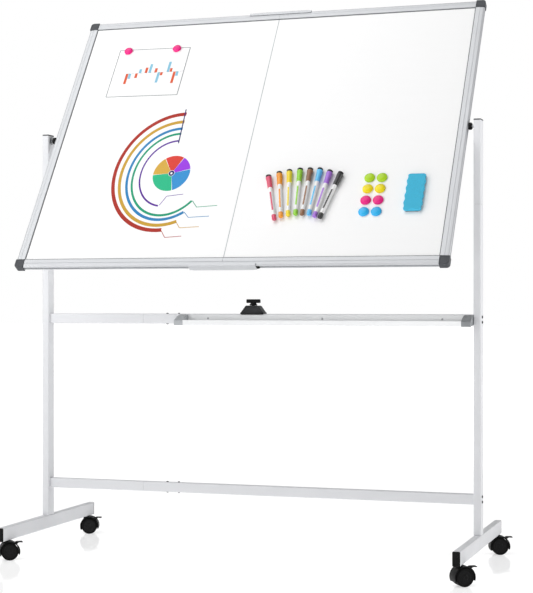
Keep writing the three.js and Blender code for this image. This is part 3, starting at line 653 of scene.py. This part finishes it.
# dark grey strips in the gap between the frame's lips and the skins are painted shade, the shadow line the
# lips cast on the face, and a thin strip covers the seam
shadeLineAndSeam = {"width": 2.2, "rise": 1.7, "soft": 0.5, "seamWidth": 2.4, "seamRise": 0.35, "seamSoft": 0.12,
          "offSkin": 0.02}
innerX, innerZ = boardHalf - profile["face"], boardReach - profile["face"]
for facing, out in (("front", -1), ("back", 1)):
    near, far = sorted((out * (skinFace + shadeLineAndSeam["offSkin"]), out * (skinFace + shadeLineAndSeam["rise"])))
    strips = []
    for sign in (-1, 1):
        low, high = sorted((sign * innerX, sign * (innerX - shadeLineAndSeam["width"])))
        strips.append(bar("Z", -innerZ, innerZ, rectangle(low, near, high, far), shadeLineAndSeam["soft"], 2))
        low, high = sorted((sign * innerZ, sign * (innerZ - shadeLineAndSeam["width"])))
        strips.append(bar("X", -innerX + shadeLineAndSeam["width"], innerX - shadeLineAndSeam["width"],
                          rectangle(near, low, far, high), shadeLineAndSeam["soft"], 2))
    makePiece(f"gasket_{facing}", joined(strips), shadeLineVinyl, "board", place=boardPlace)
    near, far = sorted((out * (skinFace + shadeLineAndSeam["offSkin"]), out * (skinFace + shadeLineAndSeam["seamRise"])))
    half, seamEnd = shadeLineAndSeam["seamWidth"] / 2, innerZ - shadeLineAndSeam["width"]
    strip = bar("Z", -seamEnd, seamEnd, rectangle(-half, near, half, far), shadeLineAndSeam["seamSoft"], 1)
    makePiece(f"seamStrip_{facing}", strip, seamVinyl, "board", place=boardPlace)
for side in sides:
    dressNode(f"core_{side}", honeycombCore)
    dressNode(f"skin_front_{side}", whiteSkin)
    dressNode(f"skin_back_{side}", whiteSkin)

# splice clips: bent sheet channels over the rails' joint, thinned at both ends
clip = {"wall": 1.4, "grip": 7.0, "slope": 16.0, "lipRound": 0.5, "bendRound": 2.2, "tipRise": 0.5,
        "tipShare": 0.12, "catchSoft": 0.5}
for level, rise in levels.items():
    low, high = span(f"splice_clip_{level}", boardPlace)
    outer = (high.z, low.z)[rise < 0]
    rim = rise * boardReach
    gripEnd = rim - rise * clip["grip"]
    thick = high.y
    channel = [(-thick, gripEnd), (-thick, outer), (thick, outer), (thick, gripEnd),
               (thick - clip["wall"], gripEnd), (thick - clip["wall"], rim + rise * fitGap),
               (-thick + clip["wall"], rim + rise * fitGap), (-thick + clip["wall"], gripEnd)]
    lipRound, bendRound = clip["lipRound"], clip["bendRound"]
    shell = bar("X", low.x, high.x, channel, {0: lipRound, 1: bendRound, 2: bendRound, 3: lipRound}, 3)
    for cutAt in (low.x + clip["slope"], high.x - clip["slope"]):
        bmesh.ops.bisect_plane(shell, geom=shell.verts[:] + shell.edges[:] + shell.faces[:], dist=1e-6,
                               plane_co=(cutAt * mm, 0, 0), plane_no=(1, 0, 0))
    for vert in shell.verts:
        atTip = min(abs(vert.co.x / mm - low.x), abs(vert.co.x / mm - high.x)) < 0.5
        if atTip and rise * (vert.co.z / mm - rim) > clip["tipRise"]:
            vert.co.z = (rim + rise * clip["tipRise"] + (vert.co.z / mm - rim) * clip["tipShare"]) * mm
    bmesh.ops.recalc_face_normals(shell, faces=shell.faces[:])
    makePiece(f"spliceClip_{level}", shell, shadedAluminiumAcross, "board",
              [f"splice_clip_{level}"], place=boardPlace)
low, high = span("clip_catch", boardPlace)
catchBlock = bar("Y", low.y, high.y, [(low.x, high.z), (low.x + 1, low.z + 0.8), (low.x + 3, low.z),
                                      (high.x - 4, low.z), (high.x, high.z)], {1: 0.4, 2: 0.8, 3: 1.0}, 3)
makePiece("clipCatch", soften(catchBlock, clip["catchSoft"], 2, 40), blackAbs, "board",
          ["clip_catch"], place=boardPlace)
print("board done")

# casters: hood with boss and stem, twin wheels on one axle, hooked brake lever
caster = {"half": 19.0, "hoodInner": 25.6, "hoodOuter": 28.6, "hoodTop": 53.7, "stemTop": 81.7, "boss": 9.5,
          "fender": (-18, 205), "slot": (38, 64), "slotHalf": 8.6, "edgeRound": 1.5, "wheelRadius": 24.0,
          "fenderSoft": 0.5, "bossFoot": 45.0, "stem": 5.0, "webInner": 9.0, "webHalf": 4.0,
          "webReach": (26.5, 24.4), "sleeve": (4.0, 10.0), "pinBush": (1.6, 3.4), "wheelInner": 5.0,
          "hubRadius": 17.8, "hubRibs": 6, "ribHalf": 0.9, "ribFrom": 8.0, "axleRadius": 3.4,
          "leverHalf": 8.0, "earHalf": 4.3, "cheekSoft": 0.5, "armSoft": 0.7, "pin": 1.5,
          "treads": (12.5, 14.5, 16.5)}


# angles run from x towards z, as bearing() reads them
def sweep(bm, geometry, degrees, steps):
    swept = bmesh.ops.spin(bm, geom=geometry, cent=(0, 0, 0), axis=(0, -1, 0), dvec=(0, 0, 0),
                           angle=math.radians(degrees), steps=steps, use_merge=False, use_duplicate=False)
    return swept["geom_last"]


def turnedTo(bm, degrees):
    turn = Matrix.Rotation(math.radians(-degrees), 3, "Y")
    bmesh.ops.rotate(bm, cent=(0, 0, 0), matrix=turn, verts=bm.verts[:])


def bearing(spot):
    return math.degrees(math.atan2(spot.z, spot.x))


def hoodFender():
    half, inner, outer = caster["half"], caster["hoodInner"], caster["hoodOuter"]
    slotHalf = caster["slotHalf"]
    start, stop = caster["fender"]
    slotStart, slotStop = caster["slot"]
    bm = bmesh.new()
    section = [(inner, -half), (outer, -half), (outer, -slotHalf), (outer, slotHalf), (outer, half),
               (inner, half), (inner, slotHalf), (inner, -slotHalf)]
    corners = [bm.verts.new((radius * mm, across * mm, 0)) for radius, across in section]
    bm.faces.new(corners)
    roundCorners(bm, [corners[1], corners[4]], caster["edgeRound"], 3)
    turnedTo(bm, start)
    bmesh.ops.delete(bm, geom=bm.faces[:], context="FACES_ONLY")
    last = sweep(bm, bm.verts[:] + bm.edges[:], slotStart - start, 7)
    last = sweep(bm, last, slotStop - slotStart, 4)
    sweep(bm, last, stop - slotStop, 18)
    inSlot = [face for face in bm.faces if slotStart < bearing(face.calc_center_median()) < slotStop
              and abs(face.calc_center_median().y) < slotHalf * mm * 0.9]
    bmesh.ops.delete(bm, geom=inSlot, context="FACES")
    rimOfSlot = [edge for edge in bm.edges if edge.is_boundary
                 and all(slotStart - 1 < bearing(vert.co) < slotStop + 1 for vert in edge.verts)]
    bmesh.ops.bridge_loops(bm, edges=rimOfSlot)
    bmesh.ops.holes_fill(bm, edges=[edge for edge in bm.edges if edge.is_boundary], sides=0)
    bmesh.ops.recalc_face_normals(bm, faces=bm.faces[:])
    return soften(bm, caster["fenderSoft"], 2, 50)


# a flat piece of a ring in x, z
def sector(near, far, start, stop, steps):
    bm = bmesh.new()
    pair = [bm.verts.new((radius, 0, 0)) for radius in (near, far)]
    edge = bm.edges.new(pair)
    turnedTo(bm, start)
    sweep(bm, pair + [edge], stop - start, steps)
    return bm


def webSector(far, start, stop, steps):
    web = sector(caster["webInner"] * mm, far * mm, start, stop, steps)
    bmesh.ops.translate(web, verts=web.verts[:], vec=(0, -caster["webHalf"] * mm, 0))
    return drawnOut(web, (0, 2 * caster["webHalf"], 0))


def hood(trail, axleHeight, leverSpot):
    axle = (trail, 0, axleHeight)
    half, slotStop = caster["webHalf"], caster["slot"][1]
    reach, slotReach = caster["webReach"]
    parts = [moved(hoodFender(), axle)]
    # the web stands between the wheels, and is lower under the lever's slot
    parts.append(moved(webSector(reach, slotStop, caster["fender"][1] - 2, 14), axle))
    parts.append(moved(webSector(slotReach, caster["slot"][0] + 2, slotStop, 3), axle))
    bore, radius = caster["sleeve"]
    sleeve = turned("Y", [(-half, bore), (-half, radius), (half, radius), (half, bore)], 32, 0.3, 1)
    parts.append(moved(sleeve, axle))
    bore, radius = caster["pinBush"]
    pinBush = turned("Y", [(-half, bore), (-half, radius), (half, radius), (half, bore)], 20)
    parts.append(moved(pinBush, leverSpot))
    # the boss grows out of the fender's roof, so its foot follows the roof
    bossFoot, bossRadius, stem = caster["bossFoot"], caster["boss"], caster["stem"]
    hoodTop, stemTop = caster["hoodTop"], caster["stemTop"]
    boss = turned("Z", [(bossFoot, 0), (bossFoot, bossRadius), (hoodTop - 1, bossRadius),
                        (hoodTop, bossRadius - 1), (hoodTop, stem), (stemTop - 1, stem), (stemTop, stem - 1),
                        (stemTop, 0)], 32)
    roof = (caster["hoodInner"] + caster["hoodOuter"]) / 2
    for vert in boss.verts:
        if vert.co.z < (bossFoot + 0.5) * mm:
            vert.co.z = (axleHeight + math.sqrt(roof ** 2 - (vert.co.x / mm - trail) ** 2)) * mm
    parts.append(boss)
    return joined(parts)


def wheelPair():
    parts = []
    radius, near, far = caster["wheelRadius"], caster["wheelInner"], caster["half"]
    hub, ribHalf = caster["hubRadius"], caster["ribHalf"]
    # round the section: inner side, tread, outer side, dished hub face, raised cap, blind bore
    outline = [(near, 3.5), (near, hub), (near, radius - 2.2), (near + 0.6, radius - 0.7),
               (near + 2.2, radius), (far - 2.6, radius), (far - 0.9, radius - 0.8), (far, radius - 2.6),
               (far, hub + 1.2), (far - 0.8, hub + 0.3), (far - 1.6, hub), (far - 1.8, hub - 1.4),
               (far - 1.8, 8.4), (far - 0.9, 7.6), (far - 0.3, 6.4), (far - 0.3, 3.2), (far - 0.9, 2.8),
               (far - 0.9, 0), (near + 4, 0), (near + 4, 3.5)]
    for out in (-1, 1):
        wheel = turned("Y", outline, 56)
        for step in range(caster["hubRibs"]):
            rib = block((caster["ribFrom"], far - 2.0, -ribHalf), (hub - 1.2, far - 1.1, ribHalf), 0.25, 1)
            moved(rib, place=Matrix.Rotation(2 * math.pi * step / caster["hubRibs"], 4, "Y"))
            wheel = joined([wheel, rib])
        if out < 0:
            moved(wheel, place=halfTurn)
        parts.append(wheel)
    axleRadius = caster["axleRadius"]
    parts.append(turned("Y", [(-near, 0), (-near, axleRadius), (near, axleRadius), (near, 0)], 24))
    pair = joined(parts)
    for face in pair.faces:
        spot = face.calc_center_median() / mm
        reach = math.hypot(spot.x, spot.z)
        face.material_index = 2 if abs(spot.y) < near - 0.01 else (0 if reach > hub + 0.2 else 1)
    return pair


# two cheeks on the pin, and one arm across both that ends in a ribbed tread
def brakeLever():
    half, ear, pin = caster["leverHalf"], caster["earHalf"], caster["pin"]
    cheek = [(-2.8, -2.0), (1.4, -2.8), (5.0, 0.4), (6.5, 2.2), (6.5, 4.8), (1.0, 4.5), (-2.2, 2.4)]
    arm = [(4.4, 0.9), (9.0, 2.4), (15.5, 1.9), (18.5, 2.2), (18.5, 4.4), (15.5, 4.8), (9.0, 4.6), (4.4, 4.8)]
    parts = []
    for low, high in ((-half, -ear), (ear, half)):
        parts.append(soften(bar("Y", low, high, cheek, 1.0, 3), caster["cheekSoft"], 2, 50))
    plate = bar("Y", -half, half, arm, {2: 3, 3: 0.9, 4: 0.9, 5: 3, 6: 3}, 4)
    parts.append(soften(plate, caster["armSoft"], 2, 50))
    for spot in caster["treads"]:
        parts.append(block((spot - 0.5, -half + 2, 4.3), (spot + 0.5, half - 2, 5.0), 0.25, 1))
    parts.append(turned("Y", [(-half, 0), (-half, pin), (half, pin), (half, 0)], 20))
    return joined(parts)


for end in ("front", "rear"):
    for side in sides:
        label = f"{end}_{side}"
        swivel = Vector(joints[f"swivel_{label}"]["pos_m"])
        axle = Vector(joints[f"roll_{label}"]["pos_m"])
        trailing = Vector((axle.x - swivel.x, axle.y - swivel.y, 0.0))
        turnPlace = Matrix.Rotation(math.atan2(trailing.y, trailing.x), 4, "Z")
        place = Matrix.Translation((swivel.x, swivel.y, 0.0)) @ turnPlace
        leverPin = place.inverted() @ Vector(joints[f"brake_press_{label}"]["pos_m"]) / mm
        makePiece(f"casterHood_{label}", hood(trailing.length / mm, axle.z / mm, leverPin), blackAbs,
                  f"caster_{label}", [f"caster_hood_{label}"], 40, place)
        makePiece(f"casterWheels_{label}", wheelPair(), [treadRubber, hubNylon, zincSteel], f"wheels_{label}",
                  [f"caster_wheels_{label}"], 35, Matrix.Translation(axle) @ turnPlace)
        leverPlace = place @ Matrix.Translation(leverPin * mm)
        makePiece(f"brakeLever_{label}", brakeLever(), blackAbs, f"brake_{label}",
                  [f"caster_brake_{label}"], 40, leverPlace)
print("casters done")


# what lies on the writing face
def onFace(x, z, turn=0.0, lift=0.0):
    spot = Vector((x, -skinFace - lift, z)) * mm
    return boardPlace @ Matrix.Translation(spot) @ Matrix.Rotation(math.radians(turn), 4, "Y")


# two film thicknesses, then how far things stand off the face, from ink to what lies on the sheet
film = {"thickness": 0.12, "fine": 0.08,
        "ink": 0.03, "overInk": 0.2, "sheet": 0.32, "onSheet": 0.6, "lastOnSheet": 0.62}


def ringPart(near, far, start, stop, across, upward, steps):
    ring = sector(near, far, start, stop, steps)
    bmesh.ops.scale(ring, vec=(across * mm, 1, upward * mm), verts=ring.verts[:])
    return drawnOut(ring, (0, -film["thickness"], 0))


def inkLine(start, stop, width, thickness=film["thickness"]):
    length = math.dist(start, stop)
    line = bar("Z", -width / 2, width / 2, rectangle(-length / 2, -thickness, length / 2, 0))
    turn = -math.atan2(stop[1] - start[1], stop[0] - start[0])
    middle = ((start[0] + stop[0]) / 2, 0, (start[1] + stop[1]) / 2)
    return moved(moved(line, place=Matrix.Rotation(turn, 4, "Y")), middle)


inks = {"red": "#B03226", "gold": "#CFA33B", "blue": "#2E86C1", "green": "#1FA17A", "purple": "#5B1A9A",
        "navy": "#2A2A6A", "pieRed": "#E2453A", "piePurple": "#A040E8", "pieBlue": "#3A96D8",
        "pieGreen": "#2DC08D", "pieGold": "#DDB04A", "rust": "#E0603C", "sky": "#8CC8E2", "grey": "#9DA1A5",
        "edgeShade": "#7B8085"}
inks = {name: dryInk(f"dryInk_{name}", colour) for name, colour in inks.items()}

# arc chart: each arc starts on the axis and runs round to its own end
arcs = {"centreX": -216, "start": 90,
        "rings": [("red", 171, 207, -129, 275.5, 10.5), ("gold", 151, 184, -135, 291, 9.0),
                  ("blue", 129, 162, -138, 302, 7.5), ("green", 113, 145, -140, 318, 6.2),
                  ("purple", 91, 116, -137, 262, 4.6)],
        "leaders": [("red", (-199, -338), (-184, -361), (-136, -357)),
                    ("gold", (-162, -309), (-148, -329), (-92, -326)),
                    ("blue", (-146, -275), (-130, -294), (-70, -291)),
                    ("green", (-130, -237), (-113, -259), (-54, -255)),
                    ("purple", (-225, -250), (-210, -219), (-162, -213))],
        "leaderWidth": 2.0, "axis": ((-221, 96), (-217, -30), 3.4)}
onBoard = onFace(0, 0, 0, film["ink"])
for ink, across, upward, centreZ, stop, width in arcs["rings"]:
    grow = width / 2 / across
    arc = ringPart(1 - grow, 1 + grow, arcs["start"], stop, across, upward, 64)
    makePiece(f"arc_{ink}", arc, inks[ink], "board",
              place=onFace(arcs["centreX"], centreZ, 0, film["ink"]))
for ink, *points in arcs["leaders"]:
    lines = [inkLine(start, stop, arcs["leaderWidth"]) for start, stop in zip(points, points[1:])]
    makePiece(f"leader_{ink}", joined(lines), inks[ink], "board", place=onBoard)
makePiece("chartAxis", inkLine(*arcs["axis"]), inks["navy"], "board",
          place=onFace(0, 0, 0, film["overInk"]))

pie = {"centre": (-214, -138), "size": (55, 62.5), "hole": 0.17, "gap": 1.6, "hub": (0.06, 0.15),
       "slices": [("piePurple", 12, 61), ("pieRed", 61, 122), ("pieGold", 122, 184), ("pieGreen", 184, 285),
                  ("pieBlue", 285, 372)]}
piePlace = onFace(*pie["centre"], 0, film["ink"])
halfGap = pie["gap"] / 2
for ink, start, stop in pie["slices"]:
    piece = ringPart(pie["hole"], 1, start + halfGap, stop - halfGap, *pie["size"], 20)
    makePiece(f"slice_{ink}", piece, inks[ink], "board", place=piePlace)
hubRing = ringPart(*pie["hub"], 0, 359, *pie["size"], 36)
makePiece("pieHub", hubRing, inks["navy"], "board", place=piePlace)
print("chart done")

# a sheet held by two magnets, with a small bar chart: x, length and ink of each bar
sheet = {"size": (229.0, 188.0), "centre": (-374.5, 247.5), "turn": 0.6, "thickness": 0.25, "baseline": 245,
         "barWidth": 8.0, "barThickness": 0.1, "barLean": 0.02, "edgeShade": 2.0, "edgeShadeInset": 1.6,
         "tickLength": 7, "tickWidth": 0.8, "tickSpots": range(-455, -265, 14),
         "bars": [(-441, -40, "rust"), (-432, -20, "sky"), (-411, -18, "rust"), (-401, 16, "sky"),
                  (-382, 21, "rust"), (-370, 34, "sky"), (-351, 17, "rust"), (-340, -40, "sky"),
                  (-331, -12, "rust"), (-312, 40, "sky"), (-303, 14, "rust"), (-290, -45, "rust"),
                  (-281, -17, "sky")]}
baseline = sheet["baseline"]
paperHalf = (sheet["size"][0] / 2, sheet["size"][1] / 2)
paperMesh = bar("Y", -sheet["thickness"], 0, rectangle(-paperHalf[0], -paperHalf[1], *paperHalf))
paperStock = officePaper("officePaper", "#FFFFFF")
makePiece("paperSheet", paperMesh, paperStock, "board",
          place=onFace(*sheet["centre"], sheet["turn"], film["sheet"]))
for ink in ("rust", "sky"):
    bars = []
    for x, length, barInk in sheet["bars"]:
        if barInk == ink:
            bars.append(inkLine((x, baseline), (x + sheet["barLean"] * length, baseline + length),
                                sheet["barWidth"], sheet["barThickness"]))
    makePiece(f"sheetBars_{ink}", joined(bars), inks[ink], "board",
              place=onFace(0, 0, 0, film["onSheet"]))
# a grey line drawn just inside the sheet's edge is painted shade along the paper's edge
insetX, insetZ = (half - sheet["edgeShadeInset"] for half in paperHalf)
corners = rectangle(-insetX, -insetZ, insetX, insetZ)
edgeShadeLines = [inkLine(start, stop, sheet["edgeShade"], film["fine"])
           for start, stop in zip(corners, corners[1:] + corners[:1])]
makePiece("sheetEdgeShade", joined(edgeShadeLines), inks["edgeShade"], "board",
          place=onFace(*sheet["centre"], sheet["turn"], film["lastOnSheet"]))
ticks = [inkLine((x, baseline), (x + sheet["tickLength"], baseline), sheet["tickWidth"], film["fine"])
         for x in sheet["tickSpots"]]
makePiece("sheetTicks", joined(ticks), inks["grey"], "board",
          place=onFace(0, 0, 0, film["lastOnSheet"]))


# round magnets, each a short rim under a low dome
magnets = {"radius": 14.5, "height": 8.5, "rim": 2.4, "domeSteps": 10, "lift": 0.05, "columns": (363, 397),
           "rows": [(-174, "lime", "#B0DA16"), (-211, "yellow", "#F8E000"), (-249, "magenta", "#F01484"),
                    (-287, "cyan", "#2CB6F2")],
           "sheetRadius": 13.0, "sheetSpots": (-458, -302), "sheetRow": 335}


def magnet(radius):
    height, rim = magnets["height"], magnets["rim"]
    dome = []
    for step in range(magnets["domeSteps"]):
        rise = math.radians(90 * step / magnets["domeSteps"])
        dome.append((-rim - (height - rim) * math.sin(rise), radius * math.cos(rise)))
    return turned("Y", [(0, 0), (0, radius - 0.8), (-0.6, radius)] + dome + [(-height, 0)], 48)


for z, tint, colour in magnets["rows"]:
    gloss = moulded(f"magnetShell_{tint}", colour, 0.2, strength=0.1, coat=0.35, specular=0.2)
    for count, x in enumerate(magnets["columns"], 1):
        makePiece(f"magnet_{tint}_{count}", magnet(magnets["radius"]), gloss, "board",
                  place=onFace(x, z, 0, magnets["lift"]))
    if tint == "magenta":
        for count, x in enumerate(magnets["sheetSpots"], 1):
            makePiece(f"sheetMagnet_{count}", magnet(magnets["sheetRadius"]), gloss, "board",
                      place=onFace(x, magnets["sheetRow"], 0, film["lastOnSheet"]))


# dry-wipe marker lying cap up: felt pad, flared cap, white barrel with a stripe, coloured end plug
# in each row: colour, x and z of the cap's end, degrees of lean
marker = {"length": 156, "pad": 7, "cap": 45, "stripe": (62, 126), "plug": 141, "fat": 8.6, "slim": 6.0,
          "lift": 0.15,
          "row": [("pink", "#D9476A", 79, -164, 16.3), ("orange", "#F59A1E", 108, -153, 11.7),
                  ("yellow", "#F5DA1E", 136, -147, 8.5), ("green", "#8FD32F", 166, -143, 4.7),
                  ("brown", "#8C6040", 195, -143, 0.7), ("blue", "#5FC1F2", 223, -144, -2.6),
                  ("violet", "#A96FDB", 252, -152, -7.1), ("black", "#141414", 283, -159, -13.1)]}
feltPad = openFoam("blackFelt", "#17171A")
barrelWhite = moulded("markerBarrel", "#F2F2F2", 0.3, coat=0.3)


def markerBody():
    pad, cap, plug, length = marker["pad"], marker["cap"], marker["plug"], marker["length"]
    fat, slim = marker["fat"], marker["slim"]
    low, high = marker["stripe"]
    body = turned("X", [(0, 0), (0, 6.8), (0.8, 7.8), (pad - 0.2, 7.8), (pad, 8.2), (pad + 0.8, fat),
                        (pad + 4, fat), (pad + 9, 7.7), (cap - 6, 7.0), (cap - 1, 6.9), (cap, 6.6),
                        (cap, slim), (low, slim), (high, slim), (plug, slim), (plug, 6.3), (length - 3, 6.1),
                        (length - 1, 5.4), (length, 4.2), (length - 0.8, 3.4), (length - 0.8, 0)], 32)
    for face in body.faces:
        along = face.calc_center_median().x / mm
        if along < pad:
            face.material_index = 0
        elif along < cap + 0.001 or along > plug - 0.001 or (low < along < high and face.normal.y < -0.92):
            face.material_index = 1
        else:
            face.material_index = 2
    return body


for tint, colour, x, z, lean in marker["row"]:
    shell = moulded(f"markerShell_{tint}", colour, 0.32, coat=0.3)
    makePiece(f"marker_{tint}", markerBody(), [feltPad, shell, barrelWhite], "board",
              place=onFace(x, z, 90 - lean, marker["fat"] + marker["lift"]))

# eraser block: dense foam on a felt wiping pad
eraser = {"size": (51, 119), "centre": (494, -230), "felt": 2.5, "feltInset": (3.5, 1.0), "feltRound": 7.0,
          "thickness": 12.0, "soft": 2.0, "waves": 5, "waveDepth": 2.4, "corner": 8.0, "lift": 0.1}
halfX, halfZ = eraser["size"][0] / 2, eraser["size"][1] / 2


# round-cornered rectangle whose long sides run in shallow finger waves
def wavyOutline(steps):
    def ripple(share):
        corner = eraser["corner"]
        short = max(0.0, corner - 2 * halfZ * min(share, 1 - share))
        return (eraser["waveDepth"] * (math.cos(2 * math.pi * eraser["waves"] * share) - 1) / 2
                - corner + math.sqrt(corner ** 2 - short ** 2))

    up = [(halfX + ripple(step / steps), -halfZ + 2 * halfZ * step / steps) for step in range(steps + 1)]
    return up + [(-x, -z) for x, z in up]


eraserPlace = onFace(*eraser["centre"], 0, eraser["lift"])
foam = bar("Y", -eraser["thickness"], -eraser["felt"], wavyOutline(60))
soften(foam, eraser["soft"], 4, 50)
makePiece("eraserFoam", foam, openFoam("eraserFoam", "#45C3E8"), "board", place=eraserPlace)
padX, padZ = halfX - eraser["feltInset"][0], halfZ - eraser["feltInset"][1]
pad = bar("Y", -eraser["felt"], 0, rectangle(-padX, -padZ, padX, padZ), eraser["feltRound"], 4)
makePiece("eraserFelt", pad, openFoam("eraserFelt", "#5B6E78"), "board", place=eraserPlace)
print("board items done")

# floor and studio light
studio = {"floorSize": 40.0, "ambient": 0.14, "mirrored": 0.62, "glowNear": 0.5, "glowFar": 0.9,
          "glowReach": (1.2, 4.0)}
floorMesh = bmesh.new()
bmesh.ops.create_grid(floorMesh, x_segments=8, y_segments=8, size=studio["floorSize"])
floorData = bpy.data.meshes.new("studioFloor")
floorMesh.to_mesh(floorData)
floorMesh.free()
# sealed pale floor, smooth enough to mirror the feet faintly
floorMaterial, floorTree, floorShader, floorPlace = startMaterial("paleStudioFloor", "#F6F6F6",
                                                                  roughness=0.28)
floorShader.inputs["Emission Color"].default_value = (1, 1, 1, 1)
# the floor glows a little more away from the object, like a lit sweep
away = addNode(floorTree, "VectorMath", {0: floorPlace}, operation="LENGTH")
glow = addNode(floorTree, "MapRange", {
    "Value": away.outputs["Value"], "From Min": studio["glowReach"][0], "From Max": studio["glowReach"][1],
    "To Min": studio["glowNear"], "To Max": studio["glowFar"]}, interpolation_type="SMOOTHSTEP")
floorTree.links.new(glow.outputs["Result"], floorShader.inputs["Emission Strength"])
scuffs = addNode(floorTree, "TexNoise", {"Vector": floorPlace, "Scale": 6.0, "Detail": 3.0})
applyPattern(floorTree, floorShader, gloss=scuffs.outputs["Fac"], spread=(0.05, 0.09))
floorData.materials.append(floorMaterial)
floor = bpy.data.objects.new("studioFloor", floorData)
bpy.context.scene.collection.objects.link(floor)

world = bpy.data.worlds.new("softWhite")
world.use_nodes = True
worldTree = world.node_tree
worldTree.nodes.clear()
# seen directly the backdrop is white, in reflections light grey, and it lights the object only softly
path = addNode(worldTree, "LightPath").outputs
mirrored = addNode(worldTree, "MapRange", {
    "Value": path["Is Glossy Ray"], "To Min": studio["ambient"], "To Max": studio["mirrored"]})
brightness = addNode(worldTree, "Math", {0: mirrored.outputs["Result"], 1: path["Is Camera Ray"]},
                     operation="MAXIMUM")
backdrop = addNode(worldTree, "Background", {"Color": (1, 1, 1, 1), "Strength": brightness.outputs["Value"]})
addNode(worldTree, "OutputWorld", {"Surface": backdrop.outputs["Background"]})
bpy.context.scene.world = world

lamps = {"leftFront": ((-2.3, -2.4, 1.9), (-0.4, 0.0, 0.9), 1.6, 30),
         "front": ((0.2, -4.6, 1.3), (0.0, 0.0, 0.8), 2.4, 25),
         "rightSide": ((2.6, 0.45, 1.3), (0.5, 0.0, 0.9), 1.2, 23),
         "overhead": ((-1.1, -1.1, 4.0), (0.0, 0.0, 1.0), 3.6, 67)}
for name, (spot, target, size, power) in lamps.items():
    lampData = bpy.data.lights.new(name, "AREA")
    lampData.shape = "SQUARE"
    lampData.size = size
    lampData.energy = power
    lamp = bpy.data.objects.new(name, lampData)
    bpy.context.scene.collection.objects.link(lamp)
    lamp.location = spot
    lamp.rotation_euler = (Vector(target) - Vector(spot)).to_track_quat("-Z", "Y").to_euler()
bpy.context.scene.view_settings.view_transform = "Standard"
print("studio done")
